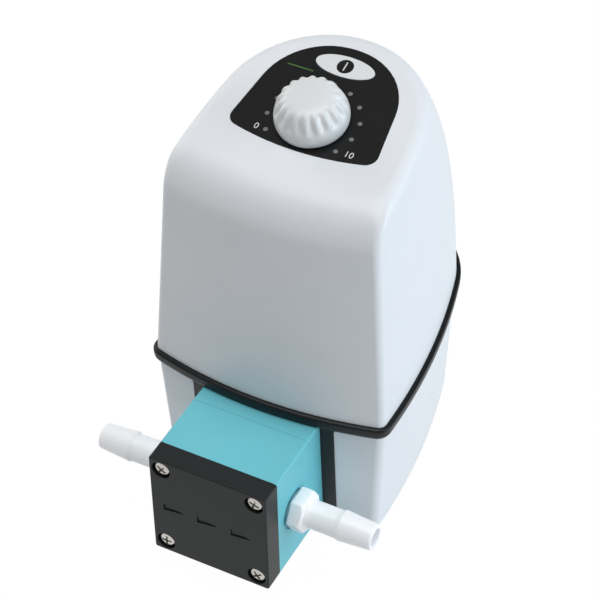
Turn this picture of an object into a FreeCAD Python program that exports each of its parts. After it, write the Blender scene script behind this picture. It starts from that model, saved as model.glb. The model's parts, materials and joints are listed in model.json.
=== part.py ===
import FreeCAD, Part
import math
import os
import Sketcher
from FreeCAD import Placement, Rotation, Vector

# Diaphragm liquid pump, a bench unit in millimetres.
# X runs along the hose fittings, -Y is the front with the pump head, Z=0 is the table.

SIZES = {
    # pump head, a square stack on one axis
    "head_width": 60.6,
    "head_corner": 1.2,
    "head_axis": 41.0,
    "cover_depth": 10.9,
    "cover_edge": 0.7,
    "head_depth": 30.3,
    "casing_depth": 21.0,
    "bracket_front": -38.0,
    "screw_spacing": 48.0,
    "cover_screw_radius": 2.0,
    "cover_head_radius": 4.0,
    "cover_head_height": 3.2,
    "counterbore_radius": 4.75,
    "counterbore_depth": 3.6,
    "arrow_length": 11.0,
    "arrow_height": 4.2,
    "arrow_sink": 0.6,
    "arrow_pitch": 17.7,
    "arrow_inset": 24.0,
    # hose fittings and their ports
    "port_setback": 15.9,
    "port_depth": 11.5,
    "thread_radius": 6.5,
    "spot_radius": 10.65,
    "spot_depth": 0.5,
    "hexagon_radius": 11.1,
    "hexagon_start": 1.0,
    "hexagon_length": 6.8,
    "nipple_neck_radius": 6.85,
    "nipple_ridge_radius": 7.5,
    "nipple_ridge_start": 24.4,
    "nipple_tip_radius": 6.35,
    "nipple_length": 41.6,
    "nipple_bore": 4.5,
    "seal_ring_radius": 8.9,
    "flow_bore": 3.5,
    # valves
    "valve_wall": 1.2,
    "plate_radius": 22.9,
    "plate_depth": 7.0,
    "dish_radius": 18.0,
    "dish_depth": 2.4,
    "valve_radius": 7.0,
    "valve_thickness": 1.4,
    "valve_lift": 0.8,
    "valve_pad_height": 0.6,
    "valve_hole": 1.6,
    "valve_hole_circle": 4.4,
    "seat_hole": 3.0,
    "plate_seal_radius": 20.6,
    "plate_seal_section": 0.8,
    # diaphragm and rod
    "diaphragm_radius": 25.9,
    "diaphragm_rim": 2.0,
    "diaphragm_web": 1.3,
    "hub_radius": 11.0,
    "hub_front": 3.0,
    "hub_depth": 6.0,
    "casing_bore": 20.0,
    "stud_radius": 2.5,
    "stud_disc_radius": 6.5,
    "stud_disc_depth": 2.0,
    "rod_plate_radius": 9.0,
    "rod_plate_depth": 3.0,
    "rod_width": 10.0,
    "rod_thickness": 8.0,
    "crank_distance": 29.8,
    "crank_throw": 2.2,
    "crank_pin_radius": 4.0,
    "bearing_radius": 11.0,
    "bearing_width": 7.0,
    "rod_eye_wall": 4.0,
    # motor
    "shaft_radius": 3.0,
    "shaft_top": 139.0,
    "eccentric_radius": 8.0,
    "counterweight_radius": 14.5,
    "counterweight_height": 4.0,
    "motor_floor": 60.0,
    "motor_length": 68.0,
    "motor_radius": 26.5,
    "motor_wall": 2.0,
    "motor_cap_height": 8.0,
    "motor_screw_x": 18.0,
    "brush_width": 5.0,
    "brush_height": 4.0,
    "motor_bearing_radius": 8.0,
    "motor_bearing_width": 5.0,
    "magnet_radius": 18.6,
    "core_radius": 18.0,
    "core_length": 44.0,
    "core_start": 12.0,
    "commutator_radius": 9.0,
    "commutator_length": 7.0,
    # motor bracket
    "bracket_depth": 62.0,
    "bracket_half_width": 34.0,
    "bracket_wall": 3.0,
    "bracket_foot_width": 9.5,
    "bracket_foot_z": 9.0,
    "bracket_screw_front": 12.0,
    "bracket_screw_rear": 8.0,
    "bracket_screw_length": 7.0,
    "bracket_window": 14.5,
    # housing shells
    "housing_front": -50.1,
    "housing_rear": 98.8,
    "housing_widest": -32.2,
    "half_width": 60.0,
    "front_arc": 220.0,
    "side_arc": 340.0,
    "corner_arc": 4.8,
    "side_taper": 0.067,
    "front_lean": 0.036,
    "rear_profile_arc": 200.0,
    "rear_profile_z": 91.0,
    "draft_side": 0.06,
    "draft_front": 0.04,
    "draft_rear": 0.05,
    "foot_height": 3.0,
    "floor_edge": 3.0,
    "wall": 3.0,
    "band_height": 6.0,
    "band_proud": 2.4,
    "frame_width": 6.4,
    "frame_gap": 0.2,
    "frame_foot": 3.8,
    "frame_proud": 0.5,
    "front_reach": 30.0,
    "web_radius": 3.5,
    "top_edge_radius": 8.0,
    "top_front_radius": 28.0,
    # control panel on the tilted top
    "panel_y": 7.4,
    "panel_z": 200.1,
    "panel_tilt": 13.37,
    "panel_recess": 1.0,
    "panel_proud": 0.2,
    "panel_front": 18.3,
    "panel_front_arc": 139.0,
    "panel_corner": 5.7,
    "panel_half_width": 36.3,
    "panel_side_slope": 7.7,
    "panel_shoulder": 32.2,
    "panel_top_arc": 48.0,
    "panel_top_centre": -4.6,
    "indicator_circle": 21.35,
    "indicator_radius": 1.1,
    "indicator_angle": 25.08,
    "knob_radius": 17.2,
    "knob_height": 16.4,
    "knob_skirt": 4.5,
    "knob_top_radius": 14.4,
    "knob_flutes": 18.0,
    "flute_radius": 2.6,
    "flute_lean": 20.0,
    "knob_lift": 0.5,
    "knob_shaft_radius": 3.0,
    "knob_hole_radius": 4.2,
    "button_y": 32.6,
    "button_long": 14.6,
    "button_short": 5.9,
    "button_top": 0.4,
    "button_travel": 0.8,
    "board_depth": 11.0,
    "board_thickness": 1.6,
    "board_half_width": 33.0,
    "board_front": 14.0,
    "board_side": 4.0,
    "board_shoulder_x": 27.0,
    "board_shoulder_y": 28.0,
    "board_rear_x": 14.0,
    "board_rear": 38.0,
    "front_standoff_x": 28.0,
    "front_standoff_y": -10.0,
    "rear_standoff_x": 22.0,
    "rear_standoff_y": 24.0,
    "board_screw_length": 7.5,
    "pot_width": 17.0,
    "switch_width": 6.0,
    "standoff_radius": 3.2,
    # rear inlet, power supply and feet
    "inlet_z": 31.0,
    "inlet_pad_width": 38.0,
    "inlet_pad_height": 31.0,
    "inlet_pad_proud": 1.1,
    "inlet_flange": 2.0,
    "inlet_width": 31.0,
    "inlet_height": 24.0,
    "inlet_depth": 19.0,
    "inlet_mouth_width": 24.2,
    "inlet_mouth_height": 16.6,
    "inlet_mouth_depth": 15.5,
    "pin_spacing": 7.0,
    "pin_rise": 2.0,
    "pin_thickness": 2.0,
    "pin_height": 4.0,
    "supply_y": 52.0,
    "supply_width": 72.0,
    "supply_height": 56.0,
    "transformer_x": -14.0,
    "transformer_width": 30.0,
    "transformer_depth": 18.0,
    "transformer_height": 26.0,
    "heatsink_x": 26.0,
    "heatsink_width": 12.0,
    "heatsink_depth": 6.0,
    "heatsink_height": 30.0,
    "capacitor_x": 12.0,
    "large_capacitor_radius": 6.0,
    "large_capacitor_length": 18.0,
    "small_capacitor_radius": 4.0,
    "small_capacitor_length": 12.0,
    "foot_radius": 6.3,
    "foot_recess": 0.8,
    "front_foot_x": 37.0,
    "front_foot_y": -25.0,
    "rear_foot_x": 21.0,
    "rear_foot_y": 76.0,
    "post_radius": 4.5,
    "upper_post_height": 32.0,
    "front_post_x": 48.6,
    "front_post_y": -37.0,
    "rear_post_x": 33.0,
    "rear_post_y": 60.0,
    "housing_screw_radius": 1.75,
    "housing_screw_head": 3.3,
    "housing_screw_length": 24.0,
    "screw_seat_depth": 14.0,
    "fit_gap": 0.05,
    "loose_gap": 0.3,
}

doc = FreeCAD.newDocument("liquid_pump")
sheet = doc.addObject("Spreadsheet::Sheet", "sizes")
for row, (alias, number) in enumerate(SIZES.items(), start=1):
    sheet.set(f"A{row}", alias)
    sheet.set(f"B{row}", str(number))
    sheet.setAlias(f"B{row}", alias)
doc.recompute()


class Size:
    """A length or angle: its value, and the sheet expression that it follows."""

    def __init__(self, value, text):
        self.value = float(value)
        self.text = text

    def __add__(self, other):
        other = as_size(other)
        return Size(self.value + other.value, f"({self.text} + {other.text})")

    def __radd__(self, other):
        return as_size(other) + self

    def __sub__(self, other):
        other = as_size(other)
        return Size(self.value - other.value, f"({self.text} - {other.text})")

    def __rsub__(self, other):
        return as_size(other) - self

    def __mul__(self, other):
        other = as_size(other)
        return Size(self.value * other.value, f"({self.text} * {other.text})")

    def __rmul__(self, other):
        return as_size(other) * self

    def __truediv__(self, other):
        other = as_size(other)
        return Size(self.value / other.value, f"({self.text} / {other.text})")

    def __neg__(self):
        return Size(0, "0") - self


def as_size(number):
    if isinstance(number, Size):
        return number
    return Size(number, f"{float(number):.6f}")


class Sheet:
    """Each alias of the sheet, read as a Size."""

    def __getattr__(self, alias):
        return Size(sheet.get(alias), f"sizes.{alias}")


d = Sheet()

# Places that several sub-parts share.
casing_front = d.bracket_front - d.casing_depth
head_front = casing_front - d.head_depth
cover_front = head_front - d.cover_depth
half_head = d.head_width / 2
screw_place = d.screw_spacing / 2
port_y = head_front + d.port_setback
valve_x = half_head - d.port_depth - d.valve_wall - d.loose_gap - d.valve_radius
valve_plane = casing_front - d.plate_depth
crank_y = d.bracket_front + d.crank_distance
pin_y = crank_y + d.crank_throw
seam_z = d.head_axis + half_head + d.frame_gap
upper_seam_z = seam_z + d.band_height
floor_top = d.foot_height + d.wall
rod_plate_y = casing_front + d.hub_front + d.hub_depth + d.loose_gap

# Rotations that lay an object's own Z axis along another axis.
TO_BACK = Rotation(Vector(1, 0, 0), -90)
TO_FRONT = Rotation(Vector(1, 0, 0), 90)
TO_RIGHT = Rotation(Vector(0, 1, 0), 90)
TO_LEFT = Rotation(Vector(0, 1, 0), -90)
QUARTER = [(1, 1), (1, -1), (-1, -1), (-1, 1)]


def place(obj, at, turn=None):
    """Set an object down at a point, turned first where a rotation is given."""
    point = [as_size(coordinate) for coordinate in at]
    obj.Placement = Placement(Vector(*[c.value for c in point]), turn or Rotation())
    for axis, coordinate in zip("xyz", point):
        obj.setExpression(f"Placement.Base.{axis}", coordinate.text)
    return obj


def solid(kind, name, at, turn=None, **sizes):
    """A primitive solid whose sizes and place follow the sheet."""
    obj = doc.addObject(f"Part::{kind}", name)
    for prop, size in sizes.items():
        size = as_size(size)
        setattr(obj, prop, size.value)
        obj.setExpression(prop, size.text)
    return place(obj, at, turn)


def box(name, centre, size):
    """A box about its centre in X and Y and Z."""
    length, width, height = [as_size(side) for side in size]
    x, y, z = centre
    corner = (x - length / 2, y - width / 2, z - height / 2)
    return solid("Box", name, corner, None, Length=length, Width=width, Height=height)


def cylinder(name, at, radius, height, turn=None):
    return solid("Cylinder", name, at, turn, Radius=radius, Height=height)


def fuse(name, pieces):
    obj = doc.addObject("Part::MultiFuse", name)
    obj.Shapes = pieces
    obj.Refine = True
    return obj


def cut(name, base, tools):
    """A solid less one tool or several tools."""
    obj = doc.addObject("Part::Cut", name)
    obj.Base = base
    obj.Tool = tools[0] if len(tools) == 1 else group(name + "_tools", tools)
    return obj


def common(name, base, tool):
    obj = doc.addObject("Part::Common", name)
    obj.Base = base
    obj.Tool = tool
    return obj


def group(name, pieces):
    """Like pieces kept as separate solids in one object."""
    obj = doc.addObject("Part::Compound", name)
    obj.Links = pieces
    return obj


def rounded(name, base, radius, chosen, kind="Fillet"):
    """Round or bevel the edges of a solid that pass a test."""
    doc.recompute()
    size = as_size(radius).value
    obj = doc.addObject(f"Part::{kind}", name)
    obj.Base = base
    edges = enumerate(base.Shape.Edges, start=1)
    obj.Edges = [(index, size, size) for index, edge in edges if chosen(edge)]
    return obj


def runs_along(axis):
    """A test for straight edges that run along one axis."""
    def chosen(edge):
        if edge.Curve.TypeId != "Part::GeomLine":
            return False
        return abs(edge.tangentAt(edge.FirstParameter).dot(axis)) > 0.999
    return chosen


def lies_at(axis, place_on_axis):
    """A test for edges that lie in one plane across an axis."""
    level = as_size(place_on_axis).value

    def chosen(edge):
        ends = [vertex.Point.dot(axis) for vertex in edge.Vertexes]
        return all(abs(end - level) < 0.01 for end in ends)
    return chosen


def add_size(sketch, first, second, kind, size):
    """A signed distance from the sketch's origin to a point, tied to the sheet."""
    if abs(size.value) < 1e-6:
        axis = -2 if kind == "DistanceX" else -1
        sketch.addConstraint(Sketcher.Constraint("PointOnObject", first, second, axis))
        return
    if size.value > 0:
        ends, amount = (-1, 1, first, second), size
    else:
        ends, amount = (first, second, -1, 1), -size
    index = sketch.addConstraint(Sketcher.Constraint(kind, *ends, amount.value))
    sketch.setExpression(f"Constraints[{index}]", amount.text)


def polygon(sketch, points):
    """A closed outline of straight lines through points given as sizes."""
    points = [(as_size(a), as_size(b)) for a, b in points]
    start = sketch.GeometryCount
    count = len(points)
    for index in range(count):
        here = points[index]
        there = points[(index + 1) % count]
        line = Part.LineSegment(Vector(here[0].value, here[1].value, 0),
                                Vector(there[0].value, there[1].value, 0))
        sketch.addGeometry(line, False)
    for index in range(count):
        following = start + (index + 1) % count
        sketch.addConstraint(Sketcher.Constraint("Coincident", start + index, 2, following, 1))
    for index, (across, along) in enumerate(points):
        add_size(sketch, start + index, 1, "DistanceX", across)
        add_size(sketch, start + index, 1, "DistanceY", along)


def circle(sketch, centre, radius):
    """A circle whose centre and radius follow the sheet."""
    centre = [as_size(c) for c in centre]
    radius = as_size(radius)
    middle = Vector(centre[0].value, centre[1].value, 0)
    index = sketch.addGeometry(Part.Circle(middle, Vector(0, 0, 1), radius.value), False)
    add_size(sketch, index, 3, "DistanceX", centre[0])
    add_size(sketch, index, 3, "DistanceY", centre[1])
    constraint = sketch.addConstraint(Sketcher.Constraint("Radius", index, radius.value))
    sketch.setExpression(f"Constraints[{constraint}]", radius.text)


def new_sketch(body, name, plane):
    """A sketch on one of a body's own origin planes."""
    sketch = body.newObject("Sketcher::SketchObject", name)
    planes = [item for item in body.Origin.OriginFeatures if item.Role == plane]
    sketch.AttachmentSupport = [(planes[0], "")]
    sketch.MapMode = "FlatFace"
    return sketch


def turned(name, profile, at, turn=None):
    """A body of revolution: its half profile is given as (radius, height) points."""
    body = doc.addObject("PartDesign::Body", name)
    sketch = new_sketch(body, name + "_profile", "XZ_Plane")
    polygon(sketch, profile)
    revolution = body.newObject("PartDesign::Revolution", name + "_turned")
    revolution.Profile = sketch
    revolution.ReferenceAxis = (sketch, ["V_Axis"])
    revolution.Angle = 360
    sketch.Visibility = False
    return place(body, at, turn)


def padded(name, outlines, length, at, turn=None, circles=()):
    """A body padded from outlines and circles drawn on its own XY plane."""
    body = doc.addObject("PartDesign::Body", name)
    sketch = new_sketch(body, name + "_outline", "XY_Plane")
    for outline in outlines:
        polygon(sketch, outline)
    for centre, radius in circles:
        circle(sketch, centre, radius)
    pad = body.newObject("PartDesign::Pad", name + "_pad")
    pad.Profile = sketch
    length = as_size(length)
    pad.Length = length.value
    pad.setExpression("Length", length.text)
    return place(body, at, turn)


nodes = []


def node(obj, name):
    """Label an object as a finished sub-part."""
    obj.Label = name
    nodes.append(obj)
    return obj


def screw(name, at, turn, radius, length, head_radius, head_height):
    """A pan head screw: the head starts at the point and the shank runs along the turn."""
    profile = [(0, -head_height), (head_radius * 0.72, -head_height),
               (head_radius, -head_height * 0.55), (head_radius, 0),
               (radius, 0), (radius, length - 0.6), (radius - 0.6, length), (0, length)]
    return turned(name, profile, at, turn)


# Outlines of the housing. Every level is a plane, level at the seam and tilted at the top.

def meet(first, first_radius, second, second_radius, pick):
    """Where two circles cross, taking the crossing that pick scores highest."""
    gap = second - first
    distance = gap.Length
    along = (first_radius ** 2 - second_radius ** 2 + distance ** 2) / (2 * distance)
    aside = math.sqrt(max(first_radius ** 2 - along ** 2, 0.0))
    forward = gap / distance
    sideways = Vector(-forward.y, forward.x, 0)
    crossings = [first + forward * along + sideways * aside,
                 first + forward * along - sideways * aside]
    return max(crossings, key=pick)


def horseshoe(half_width, widest, front, rear, corner, offset):
    """Closed outline: bowed front, round corners, long side arcs and one round rear arc."""
    front_radius = SIZES["front_arc"] - offset
    side_radius = SIZES["side_arc"] - offset
    corner = max(corner - offset, 1.5)
    half_width = half_width - offset
    front = front + offset
    rear = rear - offset
    front_centre = Vector(0, front + front_radius, 0)
    side_centre = Vector(half_width - side_radius, widest, 0)
    corner_centre = meet(front_centre, front_radius - corner, side_centre,
                         side_radius - corner, lambda point: point.x - point.y)
    reach = rear - widest
    rear_radius = (side_radius ** 2 - side_centre.x ** 2 - reach ** 2) / (2 * (side_radius - reach))
    rear_centre = Vector(0, rear - rear_radius, 0)

    def on_circle(centre, radius, towards):
        return centre + (towards - centre).normalize() * radius

    apex = Vector(0, front, 0)
    front_end = on_circle(front_centre, front_radius, corner_centre)
    side_start = on_circle(side_centre, side_radius, corner_centre)
    side_end = side_centre + (rear_centre - side_centre).normalize() * side_radius
    corner_middle = corner_centre + ((front_end + side_start) / 2 - corner_centre).normalize() * corner
    side_middle = on_circle(side_centre, side_radius, (side_start + side_end) / 2)

    def mirrored(point):
        return Vector(-point.x, point.y, 0)

    front_edge = Part.Arc(mirrored(front_end), apex, front_end)
    right_corner = Part.Arc(front_end, corner_middle, side_start)
    right_side = Part.Arc(side_start, side_middle, side_end)
    rear_edge = Part.Arc(side_end, Vector(0, rear, 0), mirrored(side_end))
    left_side = Part.Arc(mirrored(side_end), mirrored(side_middle), mirrored(side_start))
    left_corner = Part.Arc(mirrored(side_start), mirrored(corner_middle), mirrored(front_end))
    arcs = [front_edge, right_corner, right_side, rear_edge, left_side, left_corner]
    return Part.Wire([arc.toShape() for arc in arcs])


def upper_level(depth, offset):
    """Outline of the upper shell at a depth under its flat top, for a wall offset inwards."""
    size = SIZES
    seam = upper_seam_z.value
    fall = size["panel_z"] - offset - seam
    level_part = max(size["top_front_radius"] + 4.0, 0.0)
    share = max(0.0, min(1.0, (fall - depth) / (fall - level_part)))
    tilt = math.radians(size["panel_tilt"]) * share
    slope = math.tan(tilt)
    height = size["panel_z"] - offset - depth
    edge = max(size["top_edge_radius"] - offset, 0.5)
    roll = max(size["top_front_radius"] - offset, 0.5)
    side_inset = edge - math.sqrt(edge ** 2 - max(edge - depth, 0.0) ** 2)
    front_inset = roll - math.sqrt(roll ** 2 - max(roll - depth, 0.0) ** 2)
    centre_y = size["panel_y"]
    widest = size["housing_widest"]
    widest_z = height + slope * (widest - centre_y)
    half_width = size["half_width"] - size["side_taper"] * (widest_z - seam)
    lean = size["front_lean"]
    base = size["housing_front"] + lean * (height - seam - slope * centre_y)
    front = base / (1 - lean * slope)
    rear = size["housing_rear"]
    arc = size["rear_profile_arc"]
    for _ in range(12):
        above = max(height + slope * (rear - centre_y) - size["rear_profile_z"], 0.0)
        rear = size["housing_rear"] - arc + math.sqrt(arc ** 2 - above ** 2)
    stretch = 1 / math.cos(tilt)
    corner = size["corner_arc"] + front_inset / 2
    wire = horseshoe(half_width - side_inset, (widest - centre_y) * stretch,
                     (front - centre_y) * stretch + front_inset,
                     (rear - centre_y) * stretch - side_inset, corner, offset)
    turn = Rotation(Vector(1, 0, 0), math.degrees(tilt))
    wire.Placement = Placement(Vector(0, centre_y, height), turn)
    return wire


def upper_form(name, offset, overrun=0.0):
    """The whole upper form as one smooth loft from the seam, or a bit under it, to the top."""
    size = SIZES
    full = size["panel_z"] - offset - upper_seam_z.value
    edge = max(size["top_edge_radius"] - offset, 0.5)
    roll = max(size["top_front_radius"] - offset, 0.5)
    depths = [full + overrun, full * 0.82, full * 0.64, full * 0.46, (full * 0.46 + roll) / 2, roll]
    for part in (0.78, 0.6, 0.45):
        depths.append(roll * (1 - math.sin(math.acos(part) * 0.5)) * part + edge * (1 - part))
    for angle in (90.0, 67.5, 45.0, 27.0, 13.0, 0.0):
        depths.append(edge * (1 - math.cos(math.radians(angle))))
    depths = sorted(set(round(depth, 4) for depth in depths), reverse=True)
    wires = [upper_level(depth, offset) for depth in depths]
    form = doc.addObject("Part::Feature", name)
    form.Shape = Part.makeLoft(wires, True, False)
    return form


def lower_level(height, offset):
    """Outline of the lower shell and of the band at a height over the table."""
    size = SIZES
    below = upper_seam_z.value - height
    wire = horseshoe(size["half_width"] - size["draft_side"] * below, size["housing_widest"],
                     size["housing_front"] + size["draft_front"] * below,
                     size["housing_rear"] - size["draft_rear"] * below,
                     size["corner_arc"], offset)
    wire.Placement = Placement(Vector(0, 0, height), Rotation())
    return wire


def lower_form(name, bottom, top, offset):
    """Straight drafted form between two heights."""
    form = doc.addObject("Part::Feature", name)
    form.Shape = Part.makeLoft([lower_level(bottom, offset), lower_level(top, offset)], True, True)
    return form


def on_panel(obj, name):
    """Stand a finished sub-part, made about the knob's axis, on the tilted top."""
    obj.Placement = Placement(Vector(0, d.panel_y.value, d.panel_z.value),
                              Rotation(Vector(1, 0, 0), d.panel_tilt.value))
    obj.setExpression("Placement.Base.y", d.panel_y.text)
    obj.setExpression("Placement.Base.z", d.panel_z.text)
    obj.setExpression("Placement.Rotation.Angle", d.panel_tilt.text)
    return node(obj, name) if name else obj


def make_head_cover():
    """Black moulded square plate with sunk screws and three sunk flow arrows."""
    plate = box("cover_plate", (0, cover_front + d.cover_depth / 2, d.head_axis),
                (d.head_width, d.cover_depth, d.head_width))
    plate = rounded("cover_corners", plate, d.head_corner, runs_along(Vector(0, 1, 0)))
    plate = rounded("cover_edges", plate, d.cover_edge, lies_at(Vector(0, 1, 0), cover_front))
    arrows = []
    for index in range(3):
        tail = d.arrow_pitch * index - d.arrow_inset
        arrows.append([(tail, d.arrow_height / 2), (tail, -d.arrow_height / 2),
                       (tail + d.arrow_length, -d.fit_gap * 10)])
    tools = [padded("cover_arrows", arrows, d.arrow_sink + 0.5,
                    (0, cover_front + d.arrow_sink, d.head_axis), TO_FRONT)]
    for index, (right, up) in enumerate(QUARTER):
        x, z = screw_place * right, d.head_axis + screw_place * up
        tools.append(cylinder(f"cover_counterbore_{index}", (x, cover_front - 1, z),
                              d.counterbore_radius, d.counterbore_depth + 1, TO_BACK))
        tools.append(cylinder(f"cover_hole_{index}", (x, cover_front, z),
                              d.cover_screw_radius + d.loose_gap, d.cover_depth + 1, TO_BACK))
    node(cut("head_cover_solid", plate, tools), "head_cover")


def make_cover_screws():
    """Four long pan head screws that clamp the whole head to the motor bracket."""
    grip = d.cover_depth - d.counterbore_depth + d.head_depth + d.casing_depth
    screws = []
    for index, (right, up) in enumerate(QUARTER):
        at = (screw_place * right, cover_front + d.counterbore_depth, d.head_axis + screw_place * up)
        screws.append(screw(f"cover_screw_{index}", at, TO_BACK, d.cover_screw_radius,
                            grip + d.bracket_wall + 2, d.cover_head_radius, d.cover_head_height))
    node(group("cover_screw_group", screws), "cover_screws")


def head_holes(name, start, length):
    """Clearance holes for the four cover screws through a block of the stack."""
    tools = []
    for index, (right, up) in enumerate(QUARTER):
        at = (screw_place * right, start - 1, d.head_axis + screw_place * up)
        tools.append(cylinder(f"{name}_hole_{index}", at, d.cover_screw_radius + d.loose_gap,
                              length + 2, TO_BACK))
    return tools


def valve_holes(name, side, start, length):
    """Four flow holes round the middle of one valve."""
    tools = []
    reach = d.valve_hole_circle / math.sqrt(2)
    for index, (right, up) in enumerate(QUARTER):
        at = (valve_x * side + reach * right, start, d.head_axis + reach * up)
        tools.append(cylinder(f"{name}_{index}", at, d.valve_hole, length, TO_BACK))
    return tools


def valve_pads(name, side, start, length):
    """Four small pads that stop the lifted disc clear of its flow holes."""
    pads = []
    reach = d.valve_radius - 1.6
    for index, (right, up) in enumerate([(1, 0), (0, 1), (-1, 0), (0, -1)]):
        at = (valve_x * side + reach * right, start, d.head_axis + reach * up)
        pads.append(cylinder(f"{name}_{index}", at, 0.9, length, TO_BACK))
    return pads


valve_pocket = d.valve_thickness + d.valve_lift + d.valve_pad_height + d.fit_gap * 2


def make_pump_head():
    """Teal block with the two side ports, the outlet valve pocket and the plate recess."""
    block = box("head_block", (0, head_front + d.head_depth / 2, d.head_axis),
                (d.head_width, d.head_depth, d.head_width))
    block = rounded("head_corners", block, d.head_corner, runs_along(Vector(0, 1, 0)))
    tools = head_holes("head", head_front, d.head_depth)
    for side, turn, label in ((1, TO_LEFT, "right"), (-1, TO_RIGHT, "left")):
        face = half_head * side
        tools.append(cylinder(f"head_spot_{label}", (face + side, port_y, d.head_axis),
                              d.spot_radius, d.spot_depth + 1, turn))
        tools.append(cylinder(f"head_thread_{label}", (face, port_y, d.head_axis),
                              d.thread_radius + d.fit_gap, d.port_depth, turn))
        tools.append(cylinder(f"head_bore_{label}", (face, port_y, d.head_axis), d.flow_bore,
                              half_head - valve_x + d.flow_bore, turn))
    tools.append(cylinder("head_recess", (0, valve_plane, d.head_axis), d.plate_radius + d.fit_gap,
                          d.plate_depth + 1, TO_BACK))
    tools.append(cylinder("head_inlet_passage", (-valve_x, port_y, d.head_axis),
                          d.seat_hole, valve_plane - port_y + 1, TO_BACK))
    tools.append(cylinder("head_outlet_pocket", (valve_x, valve_plane - valve_pocket, d.head_axis),
                          d.valve_radius + d.loose_gap, valve_pocket + 1, TO_BACK))
    tools += valve_holes("head_outlet_hole", 1, port_y, valve_plane - port_y)
    pads = valve_pads("head_outlet_pad", 1, valve_plane - valve_pocket - 0.5, d.valve_pad_height + 0.5)
    node(fuse("pump_head_solid", [cut("pump_head_cut", block, tools)] + pads), "pump_head")


def make_valve_plate():
    """Round plate between head and diaphragm: valve pockets in front, pump chamber behind."""
    disc = cylinder("plate_disc", (0, valve_plane, d.head_axis), d.plate_radius, d.plate_depth, TO_BACK)
    dish = turned("plate_dish", [(0, 0), (d.dish_radius, 0), (d.dish_radius - 6, -d.dish_depth),
                                 (0, -d.dish_depth)], (0, casing_front, d.head_axis), TO_BACK)
    tools = [dish]
    tools.append(cylinder("plate_inlet_pocket", (-valve_x, valve_plane - 1, d.head_axis),
                          d.valve_radius + d.loose_gap, valve_pocket + 1, TO_BACK))
    tools += valve_holes("plate_inlet_hole", -1, valve_plane, d.plate_depth)
    tools.append(cylinder("plate_outlet_hole", (valve_x, valve_plane - 1, d.head_axis),
                          d.seat_hole, d.plate_depth + 1, TO_BACK))
    inner = d.plate_seal_radius - d.plate_seal_section - 0.1
    outer = d.plate_seal_radius + d.plate_seal_section + 0.1
    groove = d.plate_seal_section * 2
    tools.append(turned("plate_groove", [(inner, 0), (outer, 0), (outer, groove), (inner, groove)],
                        (0, valve_plane, d.head_axis), TO_BACK))
    pads = valve_pads("plate_inlet_pad", -1, valve_plane + valve_pocket - d.valve_pad_height,
                      d.valve_pad_height + 0.5)
    node(fuse("valve_plate_solid", [cut("valve_plate_cut", disc, tools)] + pads), "valve_plate")
    seal = solid("Torus", "plate_seal_ring", (0, valve_plane + d.plate_seal_section, d.head_axis),
                 TO_BACK, Radius1=d.plate_seal_radius, Radius2=d.plate_seal_section)
    node(seal, "plate_seal")


def make_valve_discs():
    """Two loose rubber discs with a bevelled rim, one in each pocket."""
    rim = 0.3
    profile = [(0, 0), (d.valve_radius - rim, 0), (d.valve_radius, rim),
               (d.valve_radius, d.valve_thickness - rim),
               (d.valve_radius - rim, d.valve_thickness), (0, d.valve_thickness)]
    inlet_y = valve_plane + d.fit_gap
    outlet_y = valve_plane - d.fit_gap - d.valve_thickness
    node(turned("inlet_disc", profile, (-valve_x, inlet_y, d.head_axis), TO_BACK), "inlet_valve")
    node(turned("outlet_disc", profile, (valve_x, outlet_y, d.head_axis), TO_BACK), "outlet_valve")


def make_fittings():
    """Hose fittings: plain thread, hexagon and a single ridged hose nipple."""
    start = d.hexagon_start
    shoulder = start + d.hexagon_length
    profile = [(d.nipple_bore, d.spot_depth - d.port_depth), (d.thread_radius, d.spot_depth - d.port_depth),
               (d.thread_radius, start), (d.nipple_neck_radius, start),
               (d.nipple_neck_radius, d.nipple_ridge_start), (d.nipple_ridge_radius, d.nipple_ridge_start + 1),
               (d.nipple_tip_radius, d.nipple_length - 1), (d.nipple_tip_radius - 0.9, d.nipple_length),
               (d.nipple_bore, d.nipple_length)]
    for side, turn, label in ((-1, TO_LEFT, "inlet"), (1, TO_RIGHT, "outlet")):
        at = (half_head * side, port_y, d.head_axis)
        stem = turned(f"{label}_stem", profile, at, turn)
        nut = solid("Prism", f"{label}_nut", (half_head * side + start * side, port_y, d.head_axis), turn,
                    Circumradius=d.hexagon_radius, Height=d.hexagon_length)
        nut.Polygon = 6
        bevel = turned(f"{label}_bevel", [(0, start), (d.hexagon_radius - 0.3, start),
                                          (d.hexagon_radius, start + 0.8),
                                          (d.hexagon_radius, shoulder - 0.8),
                                          (d.hexagon_radius - 1.2, shoulder), (0, shoulder)], at, turn)
        bore = cylinder(f"{label}_bore", at, d.nipple_bore, d.nipple_length, turn)
        hexagon = cut(f"{label}_hexagon", common(f"{label}_bevelled", nut, bevel), [bore])
        node(fuse(f"{label}_fitting_solid", [stem, hexagon]), f"{label}_fitting")
    inner = d.thread_radius + d.fit_gap
    ring = [(inner, -d.spot_depth), (d.seal_ring_radius, -d.spot_depth),
            (d.seal_ring_radius, start), (inner, start)]
    rings = [turned("seal_ring_left", ring, (-half_head, port_y, d.head_axis), TO_LEFT),
             turned("seal_ring_right", ring, (half_head, port_y, d.head_axis), TO_RIGHT)]
    node(group("seal_ring_group", rings), "fitting_seals")


def make_pump_casing():
    """Rear half of the teal block: clamps the diaphragm and leads the rod into the housing."""
    block = box("casing_block", (0, casing_front + d.casing_depth / 2, d.head_axis),
                (d.head_width, d.casing_depth, d.head_width))
    block = rounded("casing_corners", block, d.head_corner, runs_along(Vector(0, 1, 0)))
    tools = head_holes("casing", casing_front, d.casing_depth)
    tools.append(cylinder("casing_rim", (0, casing_front - 1, d.head_axis),
                          d.diaphragm_radius + d.loose_gap, d.diaphragm_rim + 1, TO_BACK))
    tools.append(cylinder("casing_bore_hole", (0, casing_front, d.head_axis), d.casing_bore,
                          d.casing_depth + 1, TO_BACK))
    node(cut("pump_casing_solid", block, tools), "pump_casing")


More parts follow.
